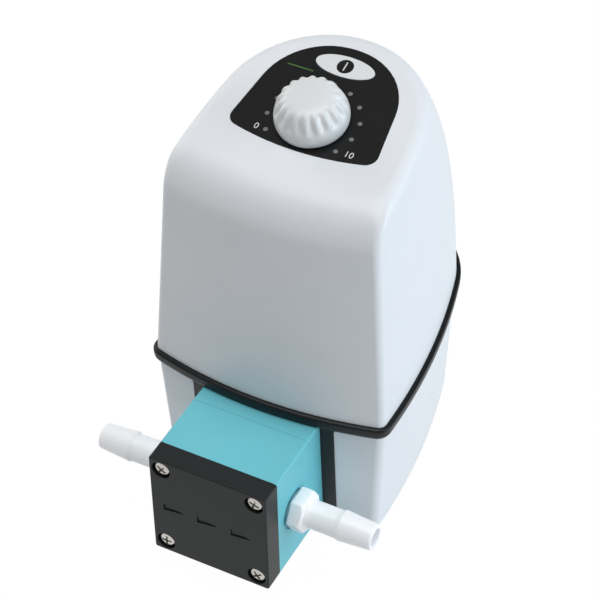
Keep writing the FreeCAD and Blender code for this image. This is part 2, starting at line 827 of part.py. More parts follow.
def make_diaphragm():
    """Moulded rubber disc: clamped rim, sloping web and thick hub with a cast-in stud."""
    web_outer = d.casing_bore - 1
    hub_end = d.hub_front + d.hub_depth
    disc_start = d.hub_front + 2
    disc_end = disc_start + d.stud_disc_depth + d.loose_gap
    cavity = d.stud_disc_radius + d.loose_gap
    shank = d.stud_radius + d.loose_gap
    profile = [(0, d.hub_front), (d.hub_radius - 1, d.hub_front), (d.hub_radius, d.hub_front + 1),
               (web_outer - 3, 0.6), (web_outer, 0), (d.diaphragm_radius, 0),
               (d.diaphragm_radius, d.diaphragm_rim), (web_outer - 2, d.diaphragm_rim),
               (d.hub_radius, d.hub_front + 1 + d.diaphragm_web), (d.hub_radius, hub_end - 1),
               (d.hub_radius - 1, hub_end), (shank, hub_end), (shank, disc_end),
               (cavity, disc_end), (cavity, disc_start - d.loose_gap), (0, disc_start - d.loose_gap)]
    node(turned("diaphragm_rubber", profile, (0, casing_front, d.head_axis), TO_BACK), "diaphragm")
    stud = [(0, disc_start), (d.stud_disc_radius, disc_start),
            (d.stud_disc_radius, disc_start + d.stud_disc_depth),
            (d.stud_radius, disc_start + d.stud_disc_depth),
            (d.stud_radius, hub_end + d.loose_gap + 10), (0, hub_end + d.loose_gap + 10)]
    node(turned("stud_steel", stud, (0, casing_front, d.head_axis), TO_BACK), "diaphragm_stud")


def make_connecting_rod():
    """Cast rod: round plate at the diaphragm, flat shank and an eye round the bearing."""
    plate = cylinder("rod_plate", (0, rod_plate_y, d.head_axis), d.rod_plate_radius,
                     d.rod_plate_depth, TO_BACK)
    plate = rounded("rod_plate_edge", plate, 0.8, lies_at(Vector(0, 1, 0), rod_plate_y + d.rod_plate_depth))
    eye_radius = d.bearing_radius + d.rod_eye_wall
    length = pin_y - rod_plate_y
    neck = d.rod_width / 2
    shank = padded("rod_shank", [[(-neck - 2, 0), (neck + 2, 0), (neck, 8), (neck, length - eye_radius),
                                  (neck + 4, length), (-neck - 4, length),
                                  (-neck, length - eye_radius), (-neck, 8)]],
                   d.rod_thickness, (0, rod_plate_y, d.head_axis - d.rod_thickness / 2))
    eye = cylinder("rod_eye", (0, pin_y, d.head_axis - d.rod_thickness / 2), eye_radius, d.rod_thickness)
    hole = cylinder("rod_eye_hole", (0, pin_y, d.head_axis - d.rod_thickness), d.bearing_radius,
                    d.rod_thickness * 2)
    thread = cylinder("rod_thread", (0, rod_plate_y - 1, d.head_axis), d.stud_radius, 11, TO_BACK)
    blank = fuse("rod_blank", [plate, shank, eye])
    node(cut("rod_solid", blank, [hole, thread]), "connecting_rod")
    low = d.head_axis - d.bearing_width / 2
    inner = d.crank_pin_radius + d.fit_gap
    outer = d.bearing_radius
    groove = 0.6
    profile = [(inner, 0), (inner + 2, 0), (inner + 2, groove), (outer - 2, groove), (outer - 2, 0),
               (outer, 0), (outer, d.bearing_width), (outer - 2, d.bearing_width),
               (outer - 2, d.bearing_width - groove), (inner + 2, d.bearing_width - groove),
               (inner + 2, d.bearing_width), (inner, d.bearing_width)]
    node(turned("rod_bearing_ring", profile, (0, pin_y, low)), "rod_bearing")


def make_eccentric():
    """Hub on the motor shaft with the crank pin below and a half-round counterweight."""
    pin_low = d.head_axis - d.bearing_width / 2 - 2.5
    hub_low = d.head_axis + d.bearing_width / 2 + d.loose_gap
    hub_high = d.motor_floor - d.bracket_wall - 2
    pin = cylinder("crank_pin", (0, pin_y, pin_low), d.crank_pin_radius, hub_low - pin_low + 1)
    collar = cylinder("crank_collar", (0, pin_y, hub_low - 0.2), d.crank_pin_radius + 1.4, 1)
    hub = cylinder("crank_hub", (0, crank_y, hub_low), d.eccentric_radius, hub_high - hub_low)
    wheel = cylinder("weight_wheel", (0, crank_y, hub_high - d.counterweight_height),
                     d.counterweight_radius, d.counterweight_height)
    half = box("weight_half", (0, crank_y - d.counterweight_radius / 2 - 1,
                               hub_high - d.counterweight_height / 2),
               (d.counterweight_radius * 2, d.counterweight_radius, d.counterweight_height + 1))
    weight = common("weight_sector", wheel, half)
    bore = cylinder("crank_bore", (0, crank_y, hub_low + 2), d.shaft_radius, hub_high)
    screw_z = hub_low + 4
    tap = cylinder("crank_tap", (0, crank_y, screw_z), 1.5, d.eccentric_radius + 1, TO_RIGHT)
    groove = turned("pin_groove", [(d.crank_pin_radius - 0.6, 0), (d.crank_pin_radius + 1, 0),
                                   (d.crank_pin_radius + 1, 1), (d.crank_pin_radius - 0.6, 1)],
                    (0, pin_y, pin_low + 1))
    blank = fuse("crank_blank", [pin, collar, hub, weight])
    node(cut("crank_solid", blank, [bore, tap, groove]), "eccentric")
    grub = cylinder("grub_screw", (d.shaft_radius, crank_y, screw_z), 1.5, 4.5, TO_RIGHT)
    node(grub, "set_screw")
    ring = turned("clip_ring", [(d.crank_pin_radius - 0.6, 0.1), (d.crank_pin_radius + 2, 0.1),
                                (d.crank_pin_radius + 2, 0.9), (d.crank_pin_radius - 0.6, 0.9)],
                  (0, pin_y, pin_low + 1))
    mouth = box("clip_mouth", (0, pin_y + d.crank_pin_radius, pin_low + 1.5), (5, 5, 3))
    node(cut("clip_solid", ring, [mouth]), "bearing_clip")


def make_motor():
    """Brushed motor with a vertical shaft, standing on the bracket's top plate."""
    floor = d.motor_floor
    top = floor + d.motor_length
    inner = d.motor_radius - d.motor_wall
    seat = d.motor_bearing_radius
    width = d.motor_bearing_width
    axis = (0, crank_y, floor)
    can = turned("motor_can_steel", [
        (d.shaft_radius + 1, -2), (seat + 2, -2), (seat + 2, 0), (d.motor_radius - 1.5, 0),
        (d.motor_radius, 1.5), (d.motor_radius, d.motor_length), (inner, d.motor_length),
        (inner, 3), (seat + 2, 3), (seat + 2, width + 1), (seat, width + 1), (seat, 0.5),
        (d.shaft_radius + 1, 0.5)], axis)
    tools = []
    for side in (1, -1):
        tools.append(cylinder(f"can_tap_{(side + 1) // 2}", (d.motor_screw_x * side, crank_y, floor - 1), 1.5, 5))
    node(cut("motor_can_solid", can, tools), "motor_can")
    cap_end = d.motor_cap_height
    cap = turned("motor_cap_moulding", [
        (d.shaft_radius + 1, cap_end), (seat + 3, cap_end), (seat + 5, 4), (d.motor_radius, 4),
        (d.motor_radius, 0), (inner - 0.1, 0), (inner - 0.1, -4), (inner - 2, -4), (inner - 2, 1),
        (seat + 1.5, 1), (seat + 1.5, -1), (seat, -1), (seat, width - 1),
        (d.shaft_radius + 1, width - 1)], (0, crank_y, top))
    node(cap, "motor_end_cap")
    ring = [(d.shaft_radius + d.fit_gap, 0), (seat, 0), (seat, width), (d.shaft_radius + d.fit_gap, width)]
    bearings = [turned("motor_bearing_low", ring, (0, crank_y, floor + 0.5)),
                turned("motor_bearing_high", ring, (0, crank_y, top - 1))]
    node(group("motor_bearing_group", bearings), "motor_bearings")
    core_low = floor + d.core_start
    arcs = []
    for side, turn in ((0, Rotation(Vector(0, 0, 1), 20)), (1, Rotation(Vector(0, 0, 1), 200))):
        segment = solid("Cylinder", f"magnet_outer_{side}", (0, crank_y, core_low - 2), turn,
                        Radius=inner - 0.1, Height=d.core_length + 4, Angle=140)
        middle = cylinder(f"magnet_inner_{side}", (0, crank_y, core_low - 3), d.magnet_radius,
                          d.core_length + 6)
        arcs.append(cut(f"magnet_{side}", segment, [middle]))
    node(group("magnet_group", arcs), "field_magnets")
    shaft_low = d.head_axis + d.bearing_width / 2 + d.loose_gap + 2
    shaft = cylinder("shaft_bar", (0, crank_y, shaft_low), d.shaft_radius, d.shaft_top - shaft_low)
    shaft = rounded("shaft_ends", shaft, 0.5, lambda edge: edge.Curve.TypeId == "Part::GeomCircle",
                    "Chamfer")
    node(shaft, "motor_shaft")
    core = turned("core_stack", [(d.shaft_radius, 0), (d.core_radius, 0), (d.core_radius, d.core_length),
                                 (d.shaft_radius, d.core_length)], (0, crank_y, core_low))
    slots = []
    for index in range(12):
        angle = math.radians(30 * index)
        out = Vector(math.cos(angle), math.sin(angle), 0)
        reach = d.core_radius - 4
        at = (reach * out.x, crank_y + reach * out.y, core_low - 1)
        slots.append(cylinder(f"core_slot_{index}", at, 2.6, d.core_length + 2))
        mouth = solid("Box", f"core_mouth_{index}",
                      (reach * out.x + 0.6 * out.y, crank_y + reach * out.y - 0.6 * out.x, core_low - 1),
                      Rotation(Vector(0, 0, 1), 30 * index),
                      Length=6, Width=1.2, Height=d.core_length + 2)
        slots.append(mouth)
    node(cut("core_solid", core, slots), "rotor_core")
    comm_low = core_low + d.core_length + 1
    comm = turned("commutator_ring", [
        (d.shaft_radius, 0), (d.commutator_radius + 1.5, 0), (d.commutator_radius + 1.5, 1),
        (d.commutator_radius, 1), (d.commutator_radius, d.commutator_length),
        (d.shaft_radius, d.commutator_length)], (0, crank_y, comm_low))
    node(comm, "commutator")
    brush_z = comm_low + 1 + d.commutator_length / 2
    brushes = []
    for side in (1, -1):
        reach = inner - 2.1 - d.commutator_radius - d.loose_gap
        middle = (d.commutator_radius + d.loose_gap + reach / 2) * side
        brushes.append(box(f"brush_{(side + 1) // 2}", (middle, crank_y, brush_z),
                           (reach, d.brush_width, d.brush_height)))
    node(group("brush_group", brushes), "brushes")
    screws = []
    for side in (1, -1):
        at = (d.motor_screw_x * side, crank_y, floor - d.bracket_wall)
        screws.append(screw(f"motor_screw_{(side + 1) // 2}", at, None, d.stud_radius - 1,
                            d.bracket_wall + 2.5, d.cover_head_radius - 0.7, d.fit_gap + 2))
    node(group("motor_screw_group", screws), "motor_screws")


foot_x = d.bracket_half_width + d.bracket_foot_width / 2
foot_front = d.bracket_front + d.bracket_screw_front
foot_rear = d.bracket_front + d.bracket_depth - d.bracket_screw_rear
foot_places = [(1, foot_front), (-1, foot_front), (1, foot_rear), (-1, foot_rear)]


def make_motor_bracket():
    """Bent and welded steel bracket: hat section with a front flange for the head."""
    half = d.bracket_half_width
    wall = d.bracket_wall
    top = d.motor_floor
    low = d.bracket_foot_z
    wide = half + d.bracket_foot_width
    section = [(-wide, low), (-wide, low + wall), (-half, low + wall), (-half, top), (half, top),
               (half, low + wall), (wide, low + wall), (wide, low), (half - wall, low),
               (half - wall, top - wall), (wall - half, top - wall), (wall - half, low)]
    hat = padded("bracket_hat", [section], d.bracket_depth,
                 (0, d.bracket_front + d.bracket_depth, 0), TO_FRONT)
    flange_high = d.head_axis + half_head
    flange = box("bracket_flange", (0, d.bracket_front + wall / 2, (low + flange_high) / 2),
                 (half * 2, wall, flange_high - low))
    tools = []
    for index, (right, up) in enumerate(QUARTER):
        at = (screw_place * right, d.bracket_front - 1, d.head_axis + screw_place * up)
        tools.append(cylinder(f"bracket_tap_{index}", at, d.cover_screw_radius + d.fit_gap,
                              wall + 2, TO_BACK))
    tools.append(cylinder("bracket_rod_hole", (0, d.bracket_front - 1, d.head_axis),
                          d.casing_bore - 3, wall + 2, TO_BACK))
    tools.append(cylinder("bracket_shaft_hole", (0, crank_y, top - wall - 1),
                          d.motor_bearing_radius + 2 + d.loose_gap, wall + 2))
    for side in (1, -1):
        at = (d.motor_screw_x * side, crank_y, top - wall - 1)
        tools.append(cylinder(f"bracket_motor_hole_{(side + 1) // 2}", at, 1.8, wall + 2))
    window = cylinder("bracket_side_window", (-half - 1, crank_y, (low + top) / 2),
                      d.bracket_window, half * 2 + 2, TO_RIGHT)
    tools.append(window)
    for index, (side, y) in enumerate(foot_places):
        tools.append(cylinder(f"bracket_foot_hole_{index}", (foot_x * side, y, low - 1), 1.9, wall + 2))
    node(cut("bracket_solid", fuse("bracket_blank", [hat, flange]), tools), "motor_bracket")
    screws = []
    for index, (side, y) in enumerate(foot_places):
        screws.append(screw(f"bracket_screw_{index}", (foot_x * side, y, low + wall),
                            Rotation(Vector(1, 0, 0), 180), d.stud_radius - 1,
                            d.bracket_screw_length, d.stud_radius + 0.4, d.fit_gap + 1.8))
    node(group("bracket_screw_group", screws), "bracket_screws")


posts = [(d.front_post_x, d.front_post_y), (-d.front_post_x, d.front_post_y),
         (d.rear_post_x, d.rear_post_y), (-d.rear_post_x, d.rear_post_y)]
rubber_places = [(d.front_foot_x, d.front_foot_y), (-d.front_foot_x, d.front_foot_y),
                 (d.rear_foot_x, d.rear_foot_y), (-d.rear_foot_x, d.rear_foot_y)]
screw_seat = seam_z - d.screw_seat_depth

inlet_face = d.housing_rear - d.draft_rear * (upper_seam_z - d.inlet_z) + d.inlet_pad_proud


def web_corners(name):
    """Filler of the rounded corners where the frame beside the head meets the seam."""
    fillers = []
    for side in (1, -1):
        x = (half_head + d.frame_gap + d.frame_width + d.web_radius / 2) * side
        z = seam_z - d.web_radius / 2
        filler = box(f"{name}_block_{(side + 1) // 2}", (x, d.housing_front, z),
                     (d.web_radius, d.front_reach, d.web_radius))
        away = cylinder(f"{name}_round_{(side + 1) // 2}",
                        (x + d.web_radius / 2 * side, d.housing_front - d.front_reach / 2 - 1,
                         z - d.web_radius / 2),
                        d.web_radius, d.front_reach + 2, TO_BACK)
        fillers.append(cut(f"{name}_{(side + 1) // 2}", filler, [away]))
    return fillers


def make_lower_housing():
    """Lower shell with floor, head opening, screw posts, bracket posts and board slots."""
    outer = lower_form("lower_outer", d.foot_height.value, seam_z.value, 0)
    outer = rounded("lower_edge", outer, d.floor_edge, lies_at(Vector(0, 0, 1), d.foot_height))
    inner = lower_form("lower_inner", floor_top.value, seam_z.value + 1, d.wall.value)
    frame_outer = half_head + d.frame_gap + d.frame_width
    notch_low = d.head_axis - half_head - d.frame_gap - d.frame_foot
    notch_height = seam_z + 1 - notch_low
    notch = box("lower_notch", (0, d.housing_front, notch_low + notch_height / 2),
                (frame_outer * 2, d.front_reach, notch_height))
    pad = box("inlet_pad", (0, inlet_face - 4, d.inlet_z), (d.inlet_pad_width, 8, d.inlet_pad_height))
    pad = rounded("inlet_pad_edge", pad, 2.0, runs_along(Vector(0, 1, 0)))
    shell = cut("lower_shell", outer, [inner, notch] + web_corners("lower_web"))
    pieces = [shell, pad]
    tools = []
    for index, (x, y) in enumerate(posts):
        pieces.append(cylinder(f"lower_post_{index}", (x, y, floor_top - 1), d.post_radius,
                               seam_z - floor_top + 1))
        tools.append(cylinder(f"lower_post_bore_{index}", (x, y, d.foot_height - 1),
                              d.housing_screw_head + d.fit_gap, screw_seat - d.foot_height + 1))
        tools.append(cylinder(f"lower_post_hole_{index}", (x, y, screw_seat - 1),
                              d.housing_screw_radius + d.fit_gap, 20))
    for index, (side, y) in enumerate(foot_places):
        pieces.append(cylinder(f"bracket_post_{index}", (foot_x * side, y, floor_top - 1),
                               d.post_radius, d.bracket_foot_z - floor_top + 1))
        tools.append(cylinder(f"bracket_post_hole_{index}", (foot_x * side, y, d.foot_height + 1.5),
                              d.stud_radius - 1 + d.fit_gap, 20))
    slot = d.board_thickness + 2 * d.fit_gap
    for side in (1, -1):
        x = (d.supply_width / 2 - 10) * side
        pieces.append(box(f"supply_rib_{(side + 1) // 2}", (x, d.supply_y, floor_top + 3), (12, 6, 8)))
    tools.append(box("supply_slot", (0, d.supply_y, floor_top + 7), (d.supply_width + 1, slot, 12)))
    for index, (x, y) in enumerate(rubber_places):
        tools.append(cylinder(f"foot_recess_{index}", (x, y, d.foot_height - 1),
                              d.foot_radius + d.fit_gap, d.foot_recess + 1))
    tools.append(box("inlet_window", (0, inlet_face, d.inlet_z),
                     (d.inlet_width - 3 + 2 * d.fit_gap, 30, d.inlet_height - 3 + 2 * d.fit_gap)))
    node(cut("lower_housing_solid", fuse("lower_with_posts", pieces), tools), "lower_housing")


def make_seal_band():
    """One rubber moulding: rounded bead round the seam and a flush frame beside the head."""
    low, high = seam_z.value, upper_seam_z.value
    steps = [0.0, 0.06, 0.2, 0.5, 0.8, 0.94, 1.0]
    proud = d.band_proud.value
    wires = []
    for step in steps:
        lip = 0.5 if step < 0.5 else 0.12
        bulge = proud * max(1 - abs(2 * step - 1) ** 5, lip) ** 0.5
        wires.append(lower_level(low + (high - low) * step, -bulge))
    bead = doc.addObject("Part::Feature", "band_bead")
    bead.Shape = Part.makeLoft(wires, True, False)
    hollow = lower_form("band_hollow", low - 1, high + 1, d.wall.value)
    ring = cut("band_ring", bead, [hollow])
    frame_outer = half_head + d.frame_gap + d.frame_width
    frame_inner = half_head + d.frame_gap
    frame_low = d.head_axis - half_head - d.frame_gap - d.frame_foot
    inner_low = d.head_axis - half_head - d.frame_gap
    skin = lower_form("frame_skin", d.foot_height.value, seam_z.value, -d.frame_proud.value)
    hollow_low = lower_form("frame_hollow", floor_top.value - 3, seam_z.value + 1, d.wall.value)
    sheet_form = cut("frame_sheet", skin, [hollow_low])
    outline = box("frame_outline", (0, d.housing_front, (frame_low + seam_z) / 2),
                  (frame_outer * 2, d.front_reach, seam_z - frame_low))
    opening = box("frame_opening", (0, d.housing_front, (inner_low + seam_z) / 2 + 2),
                  (frame_inner * 2, d.front_reach + 10, seam_z - inner_low + 4))
    outline = fuse("frame_outline_webs", [outline] + web_corners("frame_web"))
    frame = cut("frame_solid", common("frame_block", sheet_form, outline), [opening])
    node(fuse("seal_band_solid", [ring, frame]), "seal_band")


def panel_wire(offset):
    """Horseshoe outline of the control panel about the knob's axis."""
    size = SIZES
    front_centre = Vector(0, size["panel_front_arc"] - size["panel_front"], 0)
    front_radius = size["panel_front_arc"] + offset
    top_centre = Vector(0, size["panel_top_centre"], 0)
    top_radius = size["panel_top_arc"] + offset
    shoulder = size["panel_shoulder"] + offset
    corner = size["panel_corner"] + offset
    slope = math.radians(size["panel_side_slope"])
    up = Vector(-math.sin(slope), math.cos(slope), 0)
    inward = Vector(-math.cos(slope), -math.sin(slope), 0)
    side_foot = Vector(size["panel_half_width"], -8, 0) - inward * offset

    def on_inner_line(distance_in, centre, radius, pick):
        start = side_foot + inward * distance_in - centre
        along = start.dot(up)
        root = math.sqrt(along ** 2 - start.dot(start) + radius ** 2)
        ends = [centre + start + up * (root - along), centre + start - up * (root + along)]
        return max(ends, key=pick)

    shoulder_centre = on_inner_line(shoulder, top_centre, top_radius - shoulder, lambda p: p.y)
    corner_centre = on_inner_line(corner, front_centre, front_radius - corner, lambda p: -p.y)
    top_end = top_centre + (shoulder_centre - top_centre).normalize() * top_radius
    side_high = shoulder_centre - inward * shoulder
    side_low = corner_centre - inward * corner
    front_end = front_centre + (corner_centre - front_centre).normalize() * front_radius

    def middle(centre, radius, first, second):
        return centre + ((first + second) / 2 - centre).normalize() * radius

    def mirrored(point):
        return Vector(-point.x, point.y, 0)

    shoulder_middle = middle(shoulder_centre, shoulder, side_high, top_end)
    corner_middle = middle(corner_centre, corner, side_low, front_end)
    edges = [Part.Arc(mirrored(front_end), Vector(0, front_centre.y - front_radius, 0), front_end),
             Part.Arc(front_end, corner_middle, side_low), Part.LineSegment(side_low, side_high),
             Part.Arc(side_high, shoulder_middle, top_end),
             Part.Arc(top_end, Vector(0, top_centre.y + top_radius, 0), mirrored(top_end)),
             Part.Arc(mirrored(top_end), mirrored(shoulder_middle), mirrored(side_high)),
             Part.LineSegment(mirrored(side_high), mirrored(side_low)),
             Part.Arc(mirrored(side_low), mirrored(corner_middle), mirrored(front_end))]
    return Part.Wire([edge.toShape() for edge in edges])


def panel_plate(name, offset, low, high):
    """Plate of the panel's outline between two heights over the flat top."""
    plate = doc.addObject("Part::Feature", name)
    face = Part.Face(panel_wire(offset))
    face.translate(Vector(0, 0, low))
    plate.Shape = face.extrude(Vector(0, 0, high - low))
    return plate


def eye(name, grow, low, high):
    """Elliptic block for the power button and its openings."""
    curve = doc.addObject("Part::Ellipse", name + "_curve")
    long_radius = d.button_long + grow
    short_radius = d.button_short + grow
    curve.setExpression("MajorRadius", long_radius.text)
    curve.setExpression("MinorRadius", short_radius.text)
    place(curve, (0, d.button_y, low))
    block = doc.addObject("Part::Extrusion", name)
    block.Base = curve
    block.DirMode = "Custom"
    block.Dir = Vector(0, 0, 1)
    block.Solid = True
    height = as_size(high) - low
    block.LengthFwd = height.value
    block.setExpression("LengthFwd", height.text)
    return block


def indicator_spots():
    """Places of the eleven indicator windows, from the low end clockwise to the high end."""
    spots = []
    for index in range(11):
        angle = math.radians(-90 + SIZES["indicator_angle"] * (index - 5) * -1 + 180)
        spots.append((d.indicator_circle * math.cos(angle), d.indicator_circle * math.sin(angle)))
    return spots


board_posts = [(d.front_standoff_x, d.front_standoff_y), (-d.front_standoff_x, d.front_standoff_y),
               (d.rear_standoff_x, d.rear_standoff_y), (-d.rear_standoff_x, d.rear_standoff_y)]


def make_upper_housing():
    """Upper shell: leaning walls, rolled front, flat tilted top with the panel recess."""
    outer = upper_form("upper_outer", 0)
    inner = upper_form("upper_inner", d.wall.value, 2.0)
    tools = [inner]
    recess = panel_plate("panel_recess_tool", 0.1, -d.panel_recess.value, 4)
    tools.append(on_panel(recess, None))
    shaft_hole = cylinder("upper_knob_hole", (0, 0, -20), d.knob_hole_radius + 0.5, 30)
    button_hole = eye("upper_button_hole", d.loose_gap, -20, 10)
    windows = []
    for index, (x, y) in enumerate(indicator_spots()):
        windows.append(cylinder(f"upper_window_{index}", (x, y, -20), d.indicator_radius + 0.1, 30))
    tools.append(on_panel(group("upper_openings", [shaft_hole, button_hole] + windows), None))
    shell = cut("upper_shell", outer, tools)
    standoffs = []
    bores = []
    for index, (x, y) in enumerate(board_posts):
        standoffs.append(cylinder(f"standoff_{index}", (x, y, -d.board_depth), d.standoff_radius,
                                  d.board_depth - d.wall + 0.5))
        bores.append(cylinder(f"standoff_bore_{index}", (x, y, -d.board_depth - 1), 1.25, 7))
    pieces = [shell, on_panel(group("standoff_group", standoffs), None)]
    holes = [on_panel(group("standoff_bore_group", bores), None)]
    ribs = []
    for index, (x, y) in enumerate(posts):
        outwards = 1 if x.value > 0 else -1
        reach = d.half_width - x * outwards
        pieces.append(cylinder(f"upper_post_{index}", (x, y, seam_z + d.fit_gap), d.post_radius,
                               d.upper_post_height))
        ribs.append(box(f"upper_rib_{index}", (x + reach / 2 * outwards, y, upper_seam_z + 16),
                        (reach, 2.5, 30)))
        holes.append(cylinder(f"upper_post_hole_{index}", (x, y, seam_z),
                              d.housing_screw_radius + d.fit_gap, 14))
    pieces.append(common("upper_ribs", group("upper_rib_group", ribs), upper_form("upper_reach", 1.5)))
    node(cut("upper_housing_solid", fuse("upper_with_posts", pieces), holes), "upper_housing")


def make_control_panel():
    """Black horseshoe plate set into the top, open for shaft, button and windows."""
    plate = panel_plate("panel_plate", 0, -d.panel_recess.value, d.panel_proud.value)
    tools = [cylinder("panel_knob_hole", (0, 0, -5), d.knob_hole_radius, 10),
             eye("panel_button_hole", d.loose_gap, -5, 5)]
    lenses = []
    for index, (x, y) in enumerate(indicator_spots()):
        tools.append(cylinder(f"panel_window_{index}", (x, y, -5), d.indicator_radius + d.fit_gap, 10))
        lens = cylinder(f"indicator_lens_{index}", (x, y, -d.wall - 2), d.indicator_radius,
                        d.wall + 2 + d.panel_proud + 0.1)
        lenses.append(lens)
    on_panel(cut("panel_solid", plate, tools), "control_panel")
    on_panel(group("lens_group", lenses), "indicator_lenses")


def make_knob():
    """Fluted dome knob pressed on the potentiometer's shaft."""
    low = d.panel_proud + d.knob_lift
    high = low + d.knob_height
    shaft = d.knob_shaft_radius
    profile = [(shaft, low), (d.knob_radius - 0.5, low), (d.knob_radius, low + 0.6),
               (d.knob_radius, low + 2), (d.knob_radius - 0.5, low + d.knob_skirt),
               (d.knob_top_radius + 0.5, high - 3.4), (d.knob_top_radius - 0.6, high - 1.7),
               (d.knob_top_radius - 3.2, high - 0.6), (d.knob_top_radius - 7.5, high - 0.1),
               (0, high), (0, low + 10), (shaft, low + 10)]
    dome = turned("knob_dome", profile, (0, 0, 0))
    flutes = []
    count = int(SIZES["knob_flutes"])
    for index in range(count):
        angle = 360.0 / count * index
        spin = Rotation(Vector(0, 0, 1), angle)
        out = spin.multVec(Vector(1, 0, 0))
        reach = d.knob_radius + d.flute_radius
        lean = spin.multiply(Rotation(Vector(0, 1, 0), -d.flute_lean.value))
        flutes.append(cylinder(f"knob_flute_{index}", (reach * out.x, reach * out.y, low + 3.2),
                               d.flute_radius, 24, lean))
    on_panel(cut("knob_solid", dome, flutes), "speed_knob")
    body_top = -d.wall - 0.5
    body = box("pot_case", (0, 0, (body_top - d.board_depth) / 2),
               (d.pot_width, d.pot_width, d.board_depth + body_top))
    bush = cylinder("pot_bush", (0, 0, body_top - 0.5), d.knob_hole_radius - 0.4, 4)
    hole = cylinder("pot_hole", (0, 0, body_top - 3), shaft + d.fit_gap, 12)
    on_panel(cut("pot_solid", fuse("pot_blank", [body, bush]), [hole]), "potentiometer")
    rod = cylinder("pot_rod", (0, 0, body_top - 2.5), shaft, low + 9.5 - body_top + 2.5)
    on_panel(rounded("pot_rod_end", rod, 0.4, lies_at(Vector(0, 0, 1), low + 9.5), "Chamfer"),
             "potentiometer_shaft")


def make_button():
    """Eye-shaped key cap held by its flange, over a small key switch on the board."""
    under = -d.wall - d.fit_gap
    cap = eye("button_cap", 0, under - 0.2, d.button_top)
    cap = rounded("button_cap_edge", cap, 0.3, lambda edge: edge.BoundBox.ZMin > d.button_top.value - 0.01)
    flange = eye("button_flange", 1.2, under - 1, under)
    stem = cylinder("button_stem", (0, d.button_y, under - 2.5), 2, 2)
    on_panel(fuse("button_solid", [cap, flange, stem]), "power_button")
    case_top = under - 2.5 - d.button_travel - 0.7
    plunger = cylinder("plunger_pin", (0, d.button_y, case_top - 0.6), 1.5,
                       under - 2.5 - case_top + 0.6)
    on_panel(rounded("plunger_ends", plunger, 0.2, lambda edge: edge.Curve.TypeId == "Part::GeomCircle"),
             "switch_plunger")
    case_height = case_top + d.board_depth
    case = box("switch_case", (0, d.button_y, (case_top - d.board_depth) / 2),
               (d.switch_width, d.switch_width, case_height))
    hole = cylinder("switch_hole", (0, d.button_y, case_top - d.button_travel - 1), 1.5 + d.fit_gap, 5)
    on_panel(cut("switch_solid", case, [hole]), "key_switch")


def make_control_board():
    """Board under the panel, screwed to four standoffs of the upper shell."""
    right = [(d.board_half_width, -d.board_front), (d.board_half_width, d.board_side),
             (d.board_shoulder_x, d.board_shoulder_y), (d.board_rear_x, d.board_rear)]
    outline = right + [(-x, y) for x, y in reversed(right)]
    board = padded("board_blank", [outline], d.board_thickness, (0, 0, -d.board_depth - d.board_thickness))
    tools = []
    screws = []
    low = -d.board_depth - d.board_thickness
    for index, (x, y) in enumerate(board_posts):
        tools.append(cylinder(f"board_hole_{index}", (x, y, low - 1), 1.5, d.board_thickness + 2))
        screws.append(screw(f"board_screw_{index}", (x, y, low), None, d.fit_gap + 1.15, d.board_screw_length,
                            d.fit_gap + 2.4, d.fit_gap + 1.6))
    on_panel(cut("board_solid", board, tools), "control_board")
    on_panel(group("board_screw_group", screws), "board_screws")


def make_power_supply():
    """Upright supply board in the floor slots, with its parts on the front face."""
    low = floor_top + 1
    board = box("supply_blank", (0, d.supply_y, low + d.supply_height / 2),
                (d.supply_width, d.board_thickness, d.supply_height))
    node(board, "supply_board")
    face = d.supply_y - d.board_thickness / 2
    core = box("supply_transformer", (d.transformer_x, face - d.transformer_depth / 2, low + 22),
               (d.transformer_width, d.transformer_depth, d.transformer_height))
    sink = box("supply_heatsink", (d.heatsink_x, face - d.heatsink_depth / 2, low + d.heatsink_height),
               (d.heatsink_width, d.heatsink_depth, d.heatsink_height))
    tall = cylinder("supply_capacitor_0", (d.capacitor_x, face, low + 18), d.large_capacitor_radius,
                    d.large_capacitor_length, TO_FRONT)
    small = cylinder("supply_capacitor_1", (d.capacitor_x, face, low + 34), d.small_capacitor_radius,
                     d.small_capacitor_length, TO_FRONT)
    tall = rounded("supply_capacitor_edge", tall, 0.8, lambda edge: edge.Curve.TypeId == "Part::GeomCircle")
    node(group("supply_part_group", [core, sink, tall, small]), "supply_parts")


def make_mains_inlet():
    """Flanged appliance inlet in the rear wall with three contact pins."""
    rear = inlet_face + d.inlet_flange
    flange = box("inlet_flange", (0, rear - d.inlet_flange / 2, d.inlet_z),
                 (d.inlet_width, d.inlet_flange, d.inlet_height))
    flange = rounded("inlet_flange_corners", flange, 1.0, runs_along(Vector(0, 1, 0)))
    body = box("inlet_body", (0, rear - d.inlet_depth / 2, d.inlet_z),
               (d.inlet_width - 3, d.inlet_depth, d.inlet_height - 3))
    mouth = box("inlet_mouth", (0, rear - d.inlet_mouth_depth / 2 + 0.5, d.inlet_z),
                (d.inlet_mouth_width, d.inlet_mouth_depth + 1, d.inlet_mouth_height))
    mouth = rounded("inlet_mouth_edge", mouth, 3.5,
                    lambda edge: runs_along(Vector(0, 1, 0))(edge) and edge.BoundBox.ZMin > d.inlet_z.value,
                    "Chamfer")
    pins = []
    holes = []
    for index, (right, up) in enumerate([(-1, -1), (1, -1), (0, 1)]):
        length = d.inlet_depth + 1
        at = (d.pin_spacing * right, rear - 2 - length / 2, d.inlet_z + d.pin_rise * up)
        pins.append(box(f"inlet_pin_{index}", at, (d.pin_thickness, length, d.pin_height)))
        holes.append(box(f"inlet_pin_hole_{index}", at, (d.pin_thickness, length + 2, d.pin_height)))
    node(cut("inlet_solid", fuse("inlet_blank", [flange, body]), [mouth] + holes), "mains_inlet")
    node(group("inlet_pin_group", pins), "inlet_pins")


